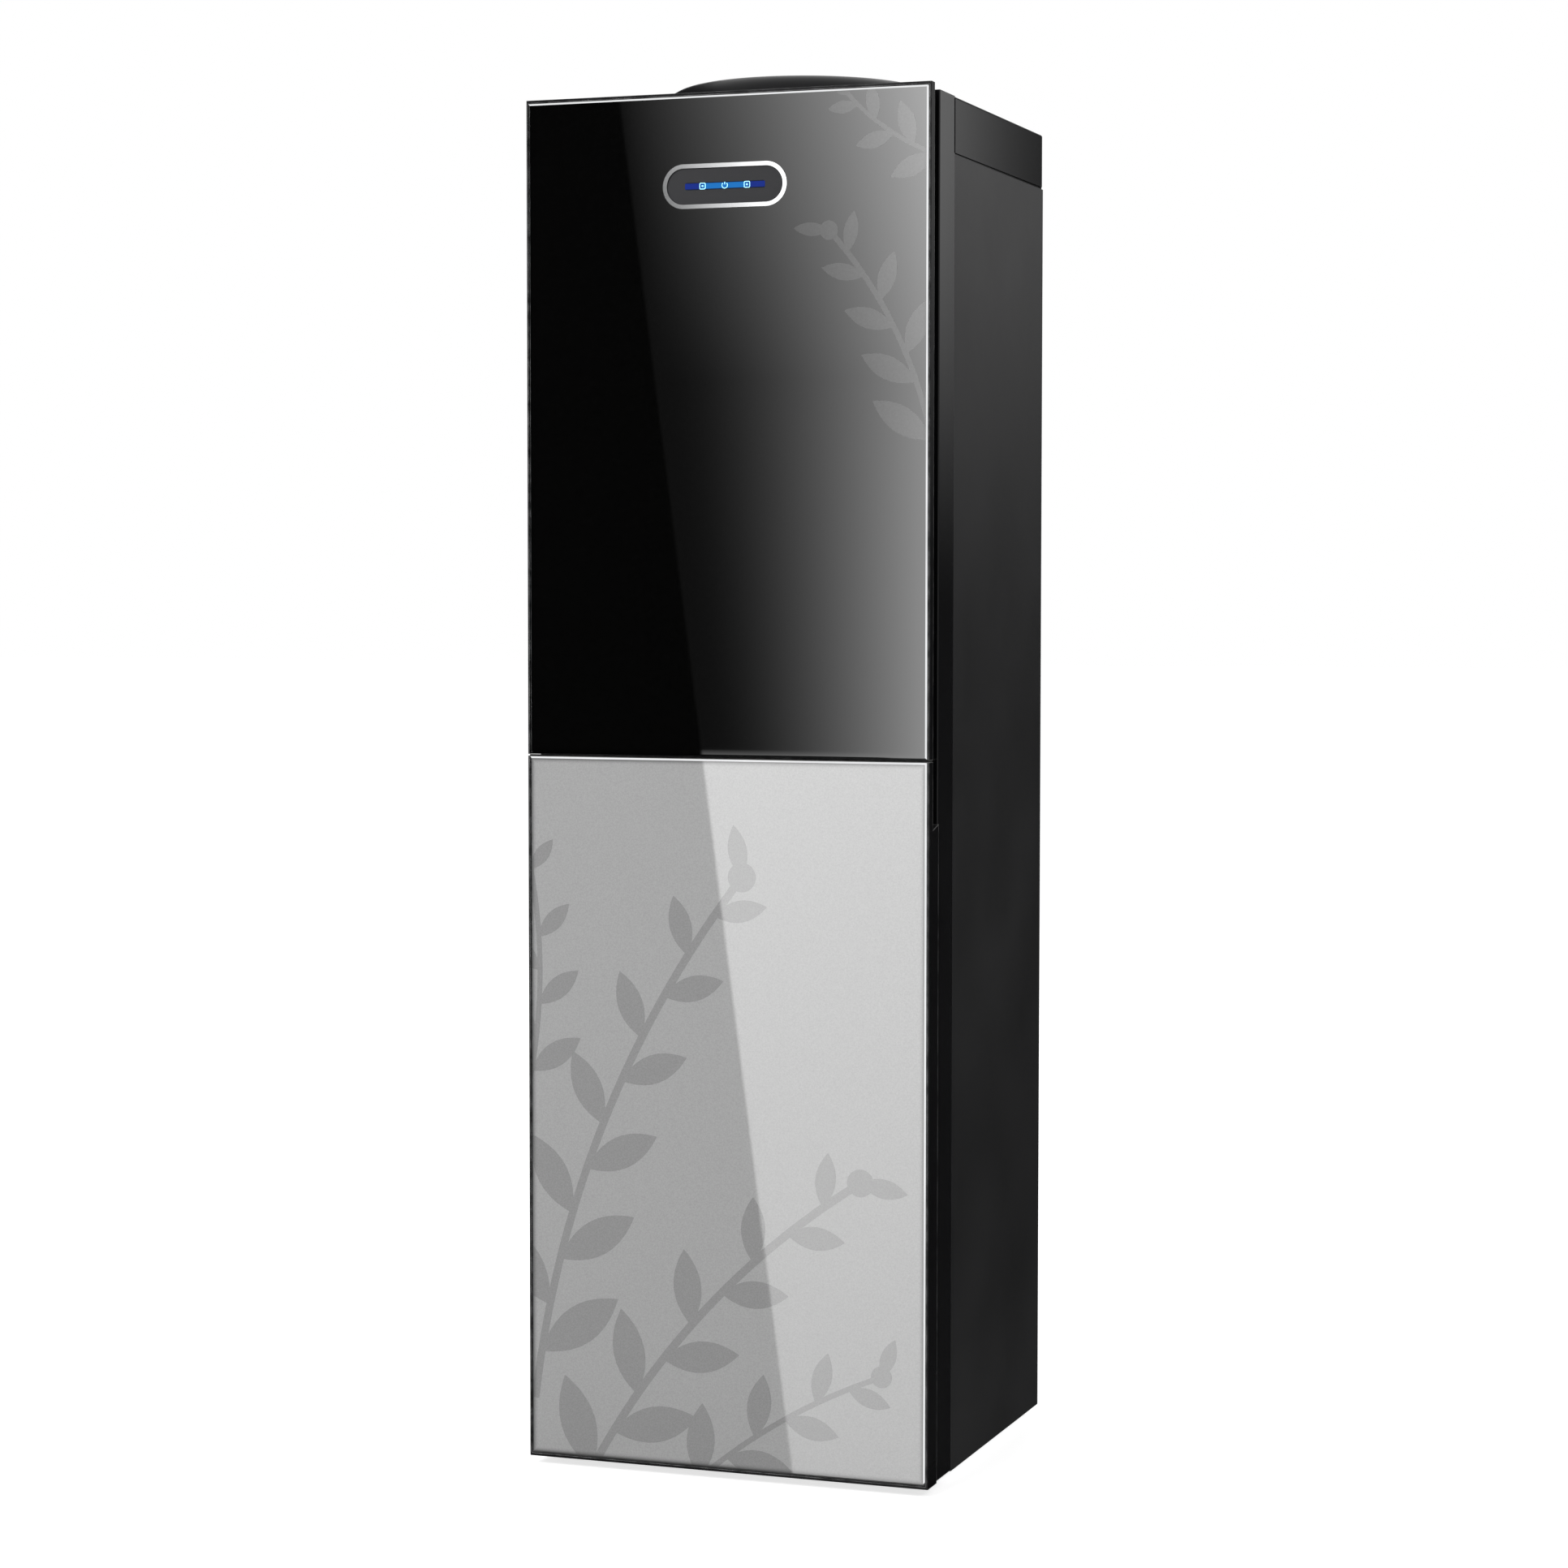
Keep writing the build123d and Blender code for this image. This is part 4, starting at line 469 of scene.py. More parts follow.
# The third colour of each row is a painted shade near the edge of the pane.
paints = {
    "silver_pane": ("lower_glass", grey(0.36), grey(0.435), grey(0.12), 900.0),
    "black_pane": ("upper_glass", grey(0.0012), grey(0.0022), grey(0.001), 600.0),
    "print_on_silver": ("lower_glass", grey(0.27), grey(0.33), grey(0.1), 900.0),
    "print_on_black": ("upper_glass", grey(0.034), grey(0.046), grey(0.02), 600.0),
}
finish.update({name: back_painted(name, *paint) for name, paint in paints.items()})
print("panes:", [tuple(round(v, 4) for v in pane_limits(n)) for n in ("upper_glass", "lower_glass")])

# %% [markdown]
# ## Dress the solid pieces
#
# Each solid keeps its mesh and takes a finish into its material slots. The table reads from the finish to
# the pieces that wear it, and the count at the end shows that none was forgotten.

# %% Hand out the finishes
wears = {
    "door_frame_black": "upper_door_frame lower_door_frame",
    "front_frame_black": "front_frame switch_bodies relay_box drain_cap cord_gland",
    "cap_black": "top_cover",
    "collar_black": "bottle_collar",
    "panel_paint": "left_side_panel right_side_panel",
    "back_paint": "back_panel",
    "wire_paint": "condenser",
    "niche_plastic": "tap_niche drip_tray",
    "liner_plastic": "cabinet_liner bottle_spike drain_spout",
    "cover_plastic": "upper_door_cover lower_door_cover",
    "grille_plastic": "drip_grille",
    "tap_plastic": "hot_tap_body cold_tap_body hot_lock_button",
    "hot_red": "hot_tap_lever hot_switch_rocker",
    "cold_blue": "cold_tap_lever",
    "rocker_green": "cold_switch_rocker",
    "plate_grey": "indicator_plate",
    "rubber": "feet compressor_mounts lower_door_seal",
    "silicone": "tank_gasket water_hoses",
    "shell_enamel": "compressor",
    "magnet_ferrite": "door_magnets",
    "zinc": "base_plate machine_deck tank_shelf hot_tank_bracket lever_pins upper_door_strike "
            "lower_door_strike",
    "dark_zinc": "casing_screws top_hinge_arm middle_hinge_arm bottom_hinge_arm hinge_pins",
    "stainless": "cold_tank hot_tank",
    "copper": "evaporator_coil refrigerant_lines",
    "bright_wire": "wire_rack",
    "silver_ring": "indicator_ring",
    "bead_foam": "cold_tank_insulation",
    "circuit_board": "indicator_board control_board",
    "light_bar": "indicator_light_bar",
    "silver_pane": "lower_glass",
    "black_pane": "upper_glass",
}
dressed = set()
for name, wearers in wears.items():
    for node in wearers.split():
        nodes[node].data.materials.clear()
        nodes[node].data.materials.append(finish[name])
        dressed.add(node)
print(len(dressed), "of", len(nodes), "pieces dressed; left over:", sorted(set(nodes) - dressed))

# %% [markdown]
# ## Polished bevels on the panes
#
# Each pane has a ground bevel all round, and where it is polished it is the brightest line on the doors. A
# bar that lies a hair proud of the bevel can have a mirror finish of its own. The bars at the sides keep the
# 45 degrees of the bevel and mirror the sides of the room. The bar along the top is flatter, so that it
# mirrors the bright room above and in front and not the underside of what is above it. The foot of a pane
# stays plain, because it only ever faces the dark.

# %% Bevel bars
def link_piece(name, mesh, material, body):
    """Add a finished mesh as a piece that rides on a body."""
    mesh.materials.clear()
    mesh.materials.append(material)
    piece = bpy.data.objects.new(name, mesh)
    bpy.context.scene.collection.objects.link(piece)
    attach(piece, body)
    return piece


def outward(mesh):
    """Merge doubles and turn every face outwards."""
    shell = bmesh.new()
    shell.from_mesh(mesh)
    bmesh.ops.remove_doubles(shell, verts=shell.verts, dist=1e-7)
    bmesh.ops.recalc_face_normals(shell, faces=shell.faces)
    shell.to_mesh(mesh)
    shell.free()


def merged(name, meshes):
    """One mesh from several that are already in place."""
    shell = bmesh.new()
    for mesh in meshes:
        shell.from_mesh(mesh)
        bpy.data.meshes.remove(mesh)
    whole = bpy.data.meshes.new(name)
    shell.to_mesh(whole)
    shell.free()
    return whole


def bar(near, far):
    """A closed bar between two loops of as many points."""
    count = len(near)
    faces = [range(count), range(count, 2 * count)]
    faces += [(i, (i + 1) % count, (i + 1) % count + count, i + count) for i in range(count)]
    mesh = bpy.data.meshes.new("bar")
    mesh.from_pydata([*near, *far], [], faces)
    outward(mesh)
    return mesh


def mitre(node, corner, section):
    """The section at a corner of a pane; each of its points is an inset from the edges and a depth."""
    low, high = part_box(node)
    return [(low.x + inset if corner[0] < 0 else high.x - inset, y,
             low.z + inset if corner[1] < 0 else high.z - inset) for inset, y in section]


STRIP_START, STRIP_END = 0.3 * MM, 1.6 * MM
STRIP_PROUD, STRIP_SINK = 0.05 * MM, 0.1 * MM
TOP_STRIP_FALL = 0.6 * MM
finish["polished_bevel"] = brushed("polished_bevel", (0.93, 0.94, 0.95), 0.06, (400.0, 400.0, 400.0), 0.01)
for door in ("upper", "lower"):
    pane = f"{door}_glass"
    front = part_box(pane)[0].y
    outer = front + GLASS_BEVEL - STRIP_START
    inside = [(STRIP_END, front - STRIP_PROUD), (STRIP_END, front + STRIP_SINK),
              (STRIP_START, outer + STRIP_SINK)]
    steep = [(STRIP_START, outer - STRIP_PROUD)] + inside
    flat = [(STRIP_START, front + TOP_STRIP_FALL)] + inside
    corners = ((-1, -1), (-1, 1), (1, 1), (1, -1))
    bars = [bar(mitre(pane, near, section), mitre(pane, far, section))
            for near, far, section in zip(corners, corners[1:], (steep, flat, steep))]
    strip = merged(f"{pane}_bevel", bars)
    link_piece(f"{pane}_bevel", strip, finish["polished_bevel"], f"{door}_door")
    print(door, "bevel bars:", len(strip.polygons), "faces")

# %% [markdown]
# ## A soft lip in the seam
#
# A hair of room stays between the two doors so that each opens alone. A soft dark lip along the top of the
# lower door fills most of it, so that no light shines through from behind. It is one small section with
# broken corners, drawn out along the door.

# %% Seam lip
LIP_HEIGHT, LIP_DEPTH, LIP_BREAK, LIP_INSET = 0.9 * MM, 1.3 * MM, 0.3 * MM, 0.1 * MM
frame_low, frame_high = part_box("lower_door_frame")
lip_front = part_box("lower_glass")[1].y + LIP_INSET
lip_back = lip_front + LIP_DEPTH
lip_foot, lip_top = frame_high.z - LIP_INSET, frame_high.z + LIP_HEIGHT
lip_section = [(lip_front, lip_foot), (lip_front, lip_top - LIP_BREAK), (lip_front + LIP_BREAK, lip_top),
               (lip_back - LIP_BREAK, lip_top), (lip_back, lip_top - LIP_BREAK), (lip_back, lip_foot)]
lip_ends = (frame_low.x + LIP_INSET, frame_high.x - LIP_INSET)
lip_mesh = bar(*([(x, y, z) for y, z in lip_section] for x in lip_ends))
lip_mesh.name = "seam_lip"
link_piece("seam_lip", lip_mesh, finish["rubber"], "lower_door")

# %% [markdown]
# ## A printed leaf design, grown with Geometry Nodes
#
# The panes carry a tone-on-tone print. A drawing could be traced as curves, but a plant follows rules, so
# a node tree can grow it: a stem that bends evenly, leaves that alternate from side to side and shrink
# towards the tip, and a round bud at the end. Each sprig only needs a length, a bend and a leaf count. The
# print is a film about as thin as paper, flat on the glass, and each layer of it has a height of its own,
# because two faces at exactly the same height would flicker and turn black.

# %% The sprig tree
def film(tree, outline, thickness):
    """Fill a flat outline and give it a thickness, closed underneath."""
    filled = add(tree, "GeometryNodeFillCurve", Curve=outline).outputs[0]
    up = add(tree, "ShaderNodeCombineXYZ", Z=thickness).outputs[0]
    raised = add(tree, "GeometryNodeExtrudeMesh", Mesh=filled, Offset=up, Offset_Scale=1.0, Individual=False)
    under = add(tree, "GeometryNodeFlipFaces", Mesh=filled).outputs[0]
    return gather(tree, raised.outputs["Mesh"], under)


def gather(tree, *parts):
    """Join geometry, keeping the order of the parts."""
    joined = tree.nodes.new("GeometryNodeJoinGeometry")
    for part in reversed(parts):
        tree.links.new(part, joined.inputs[0])
    return joined.outputs[0]


def finish_tree(tree, geometry, material, result, facets=True):
    """End a tree: make its copies real, keep its facets and set its material."""
    whole = add(tree, "GeometryNodeRealizeInstances", Geometry=geometry).outputs[0]
    if facets:
        whole = add(tree, "GeometryNodeSetShadeSmooth", Geometry=whole, Shade_Smooth=False).outputs[0]
    done = add(tree, "GeometryNodeSetMaterial", Geometry=whole, Material=material).outputs[0]
    feed(tree, result["Geometry"], done)
    return tree


def combine(tree, x=0.0, y=0.0, z=0.0):
    """A vector from three numbers or sockets."""
    return add(tree, "ShaderNodeCombineXYZ", X=x, Y=y, Z=z).outputs[0]


def ribbon(tree, path, width, thickness):
    """A closed strip of a flat section along a path."""
    section = add(tree, "GeometryNodeCurvePrimitiveQuadrilateral", Width=width, Height=thickness).outputs[0]
    strip = add(tree, "GeometryNodeCurveToMesh", Curve=path, Profile_Curve=section, Fill_Caps=True)
    return strip.outputs[0]


def leaf_outline(tree, length, width):
    """A circle drawn out along Y and pinched to a point at both ends."""
    circle = add(tree, "GeometryNodeCurvePrimitiveCircle", Resolution=28, Radius=1.0).outputs["Curve"]
    place = parts_of(tree, add(tree, "GeometryNodeInputPosition").outputs[0])
    pinched = math(tree, "MULTIPLY", place["X"], math(tree, "ABSOLUTE", place["X"]))
    x = math(tree, "MULTIPLY", pinched, math(tree, "MULTIPLY", width, 0.5))
    along = math(tree, "ADD", place["Y"], 1.0)
    y = math(tree, "MULTIPLY", along, math(tree, "MULTIPLY", length, 0.5))
    return add(tree, "GeometryNodeSetPosition", Geometry=circle, Position=combine(tree, x, y)).outputs[0]


def level_film(tree, mesh, thickness):
    """Press a bar flat: what lies above the plane goes to the film's top, the rest to its base."""
    place = parts_of(tree, add(tree, "GeometryNodeInputPosition").outputs[0])
    above = math(tree, "GREATER_THAN", place["Z"], 0.0)
    z = math(tree, "MULTIPLY", above, thickness)
    pressed = combine(tree, place["X"], place["Y"], z)
    return add(tree, "GeometryNodeSetPosition", Geometry=mesh, Position=pressed).outputs[0]


def build_sprig():
    """A bending stem with alternate leaves and a bud, lying in the XY plane and growing along +Y."""
    tree, given, result = new_group(
        "printed_sprig", "GeometryNodeTree",
        [("Length", FLOAT, 0.2), ("Bend", FLOAT, 0.8), ("Leaves", "NodeSocketInt", 9),
         ("Leaf length", FLOAT, 0.04), ("Leaf width", FLOAT, 0.016), ("Leaf angle", FLOAT, 0.8),
         ("Stem width", FLOAT, 0.003), ("Film", FLOAT, 0.00008), ("Print", "NodeSocketMaterial", None)],
        [("Geometry", "NodeSocketGeometry")],
    )
    line = add(tree, "GeometryNodeCurvePrimitiveLine", End=(0.0, 1.0, 0.0)).outputs[0]
    fine = add(tree, "GeometryNodeResampleCurve", Curve=line, Count=40).outputs[0]
    way = add(tree, "GeometryNodeSplineParameter").outputs["Factor"]
    turn = math(tree, "MULTIPLY", given["Bend"], way)
    reach = math(tree, "DIVIDE", given["Length"], given["Bend"])
    x = math(tree, "MULTIPLY", reach, math(tree, "SUBTRACT", 1.0, math(tree, "COSINE", turn)))
    y = math(tree, "MULTIPLY", reach, math(tree, "SINE", turn))
    stem = add(tree, "GeometryNodeSetPosition", Geometry=fine, Position=combine(tree, x, y)).outputs[0]
    thin = ramp(tree, way, 0.0, 1.0, 1.0, 0.3)
    tapered = add(tree, "GeometryNodeSetCurveRadius", Curve=stem, Radius=thin).outputs[0]
    level = level_film(tree, ribbon(tree, tapered, given["Stem width"], given["Film"]),
                       math(tree, "MULTIPLY", given["Film"], 0.8))

    spots = add(tree, "GeometryNodeCurveToPoints", Curve=stem, Count=given["Leaves"])
    order = add(tree, "GeometryNodeInputIndex").outputs[0]
    side = math(tree, "SUBTRACT", 1.0, math(tree, "MULTIPLY", math(tree, "MODULO", order, 2.0), 2.0))
    heading = math(tree, "MULTIPLY", given["Bend"], math(tree, "DIVIDE", order, given["Leaves"]))
    spin = math(tree, "SUBTRACT", math(tree, "MULTIPLY", side, given["Leaf angle"]), heading)
    size = ramp(tree, math(tree, "DIVIDE", order, given["Leaves"]), 0.0, 1.0, 1.0, 0.45)
    leaf = film(tree, leaf_outline(tree, given["Leaf length"], given["Leaf width"]), given["Film"])
    layer = ramp(tree, order, 0.0, 20.0, 0.85, 1.15)
    leaves = add(tree, "GeometryNodeInstanceOnPoints", Points=spots.outputs["Points"], Instance=leaf,
                 Rotation=combine(tree, z=spin), Scale=combine(tree, size, size, layer)).outputs[0]

    bud_radius = math(tree, "MULTIPLY", given["Leaf width"], 0.36)
    circle = add(tree, "GeometryNodeCurvePrimitiveCircle", Resolution=28, Radius=bud_radius).outputs["Curve"]
    tip = math(tree, "MULTIPLY", reach, math(tree, "SUBTRACT", 1.0, math(tree, "COSINE", given["Bend"])))
    top = math(tree, "MULTIPLY", reach, math(tree, "SINE", given["Bend"]))
    bud_film = film(tree, circle, math(tree, "MULTIPLY", given["Film"], 1.2))
    bud_place = combine(tree, tip, top)
    bud = add(tree, "GeometryNodeTransform", Geometry=bud_film, Translation=bud_place).outputs[0]
    return finish_tree(tree, gather(tree, level, leaves, bud), given["Print"], result)


sprig_tree = build_sprig()
print("sprig tree with", len(sprig_tree.nodes), "nodes")

# %% [markdown]
# ## Grow the design on both doors
#
# Every sprig is grown flat, baked to a plain mesh and turned up onto its pane, and the sprigs of one door
# become one piece. The print takes the pane's own recipe in another tone, so that the long shine
# runs across glass and print alike.

# %% Grow and place the sprigs
def grow(tree, values, start=None):
    """Bake one run of a Geometry Nodes tree on a starting mesh; values go by the names of its inputs."""
    seed = bpy.data.objects.new("seed", start or bpy.data.meshes.new("seed"))
    bpy.context.scene.collection.objects.link(seed)
    modifier = seed.modifiers.new("grow", "NODES")
    modifier.node_group = tree
    sockets = {item.name: item.identifier for item in tree.interface.items_tree if item.in_out == "INPUT"}
    for label, value in values.items():
        modifier[sockets[label]] = value
    depsgraph = bpy.context.evaluated_depsgraph_get()
    mesh = bpy.data.meshes.new_from_object(seed.evaluated_get(depsgraph), depsgraph=depsgraph)
    bpy.data.objects.remove(seed)
    return mesh


def trim(mesh, node):
    """Cut a print off at the edge of the flat of a pane and close the cut."""
    half, bottom, top = pane_limits(node)
    cuts = [((half, 0, 0), (1, 0, 0)), ((-half, 0, 0), (-1, 0, 0)),
            ((0, 0, top), (0, 0, 1)), ((0, 0, bottom), (0, 0, -1))]
    shell = bmesh.new()
    shell.from_mesh(mesh)
    for place, way in cuts:
        everything = shell.verts[:] + shell.edges[:] + shell.faces[:]
        bmesh.ops.bisect_plane(shell, geom=everything, plane_co=place, plane_no=way, clear_outer=True)
        bmesh.ops.holes_fill(shell, edges=[edge for edge in shell.edges if edge.is_boundary])
    shell.to_mesh(mesh)
    shell.free()


FILM, FILM_STEP, FILM_SINK = 0.06 * MM, 0.02 * MM, 0.02 * MM


def printed_sprig(layer, node, material, foot, heading, **sizes):
    """A sprig with its foot at a point of the pane, growing at a heading from upright."""
    labels = {key.replace("_", " ").capitalize(): value for key, value in sizes.items()}
    mesh = grow(sprig_tree, {**labels, "Film": FILM + layer * FILM_STEP, "Print": material})
    upright = Matrix.Rotation(pi / 2, 4, "X") @ Matrix.Rotation(-heading, 4, "Z")
    mesh.transform(Matrix.Translation((foot[0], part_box(node)[0].y + FILM_SINK, foot[1])) @ upright)
    return mesh


sprigs = {
    "lower": ("print_on_silver", "silver_glass", [
        dict(foot=(-0.150, 0.05), heading=0.12, length=0.43, bend=0.55, leaves=13,
             leaf_length=0.078, leaf_width=0.030, stem_width=0.006),
        dict(foot=(-0.105, 0.0), heading=0.5, length=0.31, bend=0.5, leaves=10,
             leaf_length=0.072, leaf_width=0.028, stem_width=0.006),
        dict(foot=(-0.02, 0.0), heading=0.85, length=0.165, bend=0.35, leaves=7,
             leaf_length=0.056, leaf_width=0.022, stem_width=0.004),
        dict(foot=(-0.158, 0.27), heading=0.25, length=0.2, bend=-0.5, leaves=9,
             leaf_length=0.05, leaf_width=0.019, stem_width=0.004),
    ]),
    "upper": ("print_on_black", "black_glass", [
        dict(foot=(0.156, 0.755), heading=-0.2, length=0.17, bend=-0.55, leaves=9,
             leaf_length=0.052, leaf_width=0.019, stem_width=0.004),
        dict(foot=(0.158, 0.955), heading=-1.2, length=0.085, bend=0.5, leaves=6,
             leaf_length=0.036, leaf_width=0.014, stem_width=0.003),
    ]),
}
for door, (print_name, slot, growth) in sprigs.items():
    pane = f"{door}_glass"
    meshes = [printed_sprig(layer, pane, finish[print_name], **sizes) for layer, sizes in enumerate(growth)]
    design = merged(f"{pane}_print", meshes)
    outward(design)
    trim(design, pane)
    link_piece(f"{pane}_print", design, finish[print_name], f"{door}_door")
    print(door, "print:", len(growth), "sprigs,", len(design.polygons), "faces")

# %% [markdown]
# ## Symbols on the light bar
#
# Three small lamps shine through the bar, each behind a plain symbol: an open ring with a stroke for power
# in the middle, and a round-cornered square with a dot on each side. Every symbol is a handful of short
# strokes, so one Geometry Nodes tree gives any list of points a flat ribbon.

# %% Symbols
def build_stroke():
    """A flat ribbon along the points of a line that lies in the XY plane."""
    tree, given, result = new_group(
        "symbol_stroke", "GeometryNodeTree",
        [("Path", "NodeSocketGeometry", None), ("Width", FLOAT, 0.0006), ("Thickness", FLOAT, 0.0001),
         ("Finish", "NodeSocketMaterial", None)],
        [("Geometry", "NodeSocketGeometry")],
    )
    path = add(tree, "GeometryNodeMeshToCurve", Mesh=given["Path"]).outputs[0]
    return finish_tree(tree, ribbon(tree, path, given["Width"], given["Thickness"]), given["Finish"], result)


def arc(radius, start, end, steps=20):
    """Points on an arc in the plane, angles in turns from upright."""
    turns = [start + (end - start) * step / steps for step in range(steps + 1)]
    return [(radius * sin(2 * pi * turn), radius * cos(2 * pi * turn)) for turn in turns]


def rounded_square(half, corner):
    """Points round a square with round corners, closed."""
    points = []
    for quarter in range(4):
        middle_x, middle_y = ((1, 1), (1, -1), (-1, -1), (-1, 1))[quarter]
        points += [((half - corner) * middle_x + x, (half - corner) * middle_y + y)
                   for x, y in arc(corner, quarter / 4, quarter / 4 + 0.25, 5)]
    return points + points[:1]


def glowing(name, colour, strength):
    """A lit symbol, with a slightly uneven glow."""
    material, tree, shader = new_material(name)
    cloud = effect(tree, "grain", Clouds_per_metre=300.0)["Cloud"]
    dim = tuple(part * 0.85 for part in colour) + (1.0,)
    feed(tree, shader.inputs["Emission Color"], blend_colour(tree, cloud, dim, tuple(colour) + (1.0,)))
    shader.inputs["Emission Strength"].default_value = strength
    shader.inputs["Base Color"].default_value = tuple(colour) + (1.0,)
    roughen(tree, shader, cloud, 0.3, 0.4)
    return material


stroke_tree = build_stroke()
finish["symbol_light"] = glowing("symbol_light", (0.36, 0.8, 1.0), 0.9)
LAMP_PITCH, STROKE, SYMBOL_THICK = 17.0 * MM, 0.5 * MM, 0.12 * MM
bar_low, bar_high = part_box("indicator_light_bar")
bar_z = (bar_low.z + bar_high.z) / 2


def symbol_stroke(points, middle_x):
    """One stroke of a symbol on the front of the light bar."""
    path = bpy.data.meshes.new("stroke")
    corners = [(x * MM, y * MM, 0.0) for x, y in points]
    path.from_pydata(corners, [(step, step + 1) for step in range(len(corners) - 1)], [])
    sizes = {"Width": STROKE, "Thickness": SYMBOL_THICK, "Finish": finish["symbol_light"]}
    mesh = grow(stroke_tree, sizes, path)
    place = Matrix.Translation((middle_x, bar_low.y - SYMBOL_THICK / 4, bar_z))
    mesh.transform(place @ Matrix.Rotation(pi / 2, 4, "X"))
    return mesh


power = [arc(2.1, 0.12, 0.88), [(0.0, 0.6), (0.0, 2.4)]]
drop = [rounded_square(2.1, 0.8), arc(0.45, 0.0, 1.0, 8)]
strokes = [symbol_stroke(points, 0.0) for points in power]
strokes += [symbol_stroke(points, side * LAMP_PITCH) for side in (-1, 1) for points in drop]
symbols = merged("indicator_symbols", strokes)
outward(symbols)
link_piece("indicator_symbols", symbols, finish["symbol_light"], "upper_door")
print("symbols:", len(strokes), "strokes")

# %% [markdown]
# ## Screws with a cross recess
#
# The back panel is held by pan-head screws and the hinges by countersunk ones. The solids only give their
# outline, so each screw is replaced by one with a tapered head and a cross for the driver. A node tree cuts
# one head with a cross and puts it on every place, turned by a different angle each time, as real screws
# come to rest. The two bars of the cross meet, so the cut has to allow for a mesh that crosses itself.

# %% Screws
def build_screws():
    """Heads and shanks on the points of a mesh, along +Z, each turned at random."""
    tree, given, result = new_group(
        "cross_screws", "GeometryNodeTree",
        [("Places", "NodeSocketGeometry", None), ("Head radius", FLOAT, 0.004), ("Neck radius", FLOAT, 0.004),
         ("Head height", FLOAT, 0.0024), ("Shank radius", FLOAT, 0.0016), ("Shank length", FLOAT, 0.007),
         ("Recess", FLOAT, 0.0014), ("Sink", FLOAT, 0.0), ("Seed", "NodeSocketInt", 3),
         ("Finish", "NodeSocketMaterial", None)],
        [("Geometry", "NodeSocketGeometry")],
    )
    head = add(tree, "GeometryNodeMeshCone", Vertices=40, Side_Segments=1, Radius_Top=given["Head radius"],
               Radius_Bottom=given["Neck radius"], Depth=given["Head height"]).outputs["Mesh"]
    wide = math(tree, "MULTIPLY", given["Head radius"], 1.15)
    narrow = math(tree, "MULTIPLY", given["Head radius"], 0.26)
    deep = math(tree, "MULTIPLY", given["Recess"], 2.0)
    bars = [add(tree, "GeometryNodeMeshCube", Size=combine(tree, *size, deep)).outputs["Mesh"]
            for size in ((wide, narrow), (narrow, wide))]
    cross = add(tree, "GeometryNodeTransform", Geometry=gather(tree, *bars),
                Translation=combine(tree, z=given["Head height"])).outputs[0]
    cut = tree.nodes.new("GeometryNodeMeshBoolean")
    cut.operation = "DIFFERENCE"
    cut.solver = "EXACT"
    cut.inputs["Self Intersection"].default_value = True
    tree.links.new(head, cut.inputs["Mesh 1"])
    tree.links.new(cross, cut.inputs["Mesh 2"])
    shank = add(tree, "GeometryNodeMeshCylinder", Vertices=24, Radius=given["Shank radius"],
                Depth=given["Shank length"]).outputs["Mesh"]
    low = math(tree, "MULTIPLY", given["Shank length"], -0.5)
    shank = add(tree, "GeometryNodeTransform", Geometry=shank, Translation=combine(tree, z=low)).outputs[0]
    screw = add(tree, "GeometryNodeTransform", Geometry=gather(tree, cut.outputs["Mesh"], shank),
                Translation=combine(tree, z=given["Sink"])).outputs[0]
    spots = add(tree, "GeometryNodeMeshToPoints", Mesh=given["Places"]).outputs[0]
    turn = add(tree, "FunctionNodeRandomValue", Seed=given["Seed"], Max=pi).outputs[1]
    placed = add(tree, "GeometryNodeInstanceOnPoints", Points=spots, Instance=screw,
                 Rotation=combine(tree, z=turn)).outputs[0]
    return finish_tree(tree, placed, given["Finish"], result)


def screw_islands(node):
    """The box of each separate screw of a node, as (low, high) corners."""
    shell = bmesh.new()
    shell.from_mesh(nodes[node].data)
    bmesh.ops.remove_doubles(shell, verts=shell.verts, dist=1e-6)
    waiting, boxes = set(shell.verts), []
    while waiting:
        reach, island = [waiting.pop()], []
        while reach:
            vertex = reach.pop()
            island.append(vertex.co.copy())
            near = [edge.other_vert(vertex) for edge in vertex.link_edges]
            reach += [other for other in near if other in waiting]
            waiting.difference_update(near)
        boxes.append([Vector(limit(point[axis] for point in island) for axis in range(3))
                      for limit in (min, max)])
    shell.free()
    return boxes


screw_tree = build_screws()
PAN_HEAD, FLUSH_HEAD = 2.4 * MM, 1.6 * MM
facings = {"back": Matrix.Rotation(-pi / 2, 4, "X"), "front": Matrix.Rotation(pi / 2, 4, "X"), "up": Matrix()}
heads = {"back": [], "front": [], "up": []}
for low, high in screw_islands("casing_screws"):
    middle, size = (low + high) / 2, high - low
    if size.z > size.y:
        heads["up"].append(Vector((middle.x, middle.y, high.z)))
    elif middle.y > 0:
        heads["back"].append(Vector((middle.x, high.y, middle.z)))
    else:
        heads["front"].append(Vector((middle.x, low.y, middle.z)))
screws = []
for facing, tops in heads.items():
    places = bpy.data.meshes.new("places")
    places.from_pydata([facings[facing].inverted() @ top for top in tops], [], [])
    pan = facing == "back"
    head_height = PAN_HEAD if pan else FLUSH_HEAD
    sizes = {"Head radius": (3.7 if pan else 2.95) * MM, "Neck radius": (4.0 if pan else 1.6) * MM,
             "Head height": head_height, "Shank length": (7.0 if pan else 5.3) * MM, "Sink": -head_height}
    mesh = grow(screw_tree, {**sizes, "Finish": finish["dark_zinc"]}, places)
    mesh.transform(facings[facing])
    screws.append(mesh)
screw_mesh = merged("cross_recess_screws", screws)
screw_piece = link_piece("cross_recess_screws", screw_mesh, finish["dark_zinc"], "cabinet")
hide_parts("casing_screws")
print("screws:", {facing: len(tops) for facing, tops in heads.items()}, len(screw_mesh.polygons), "faces")

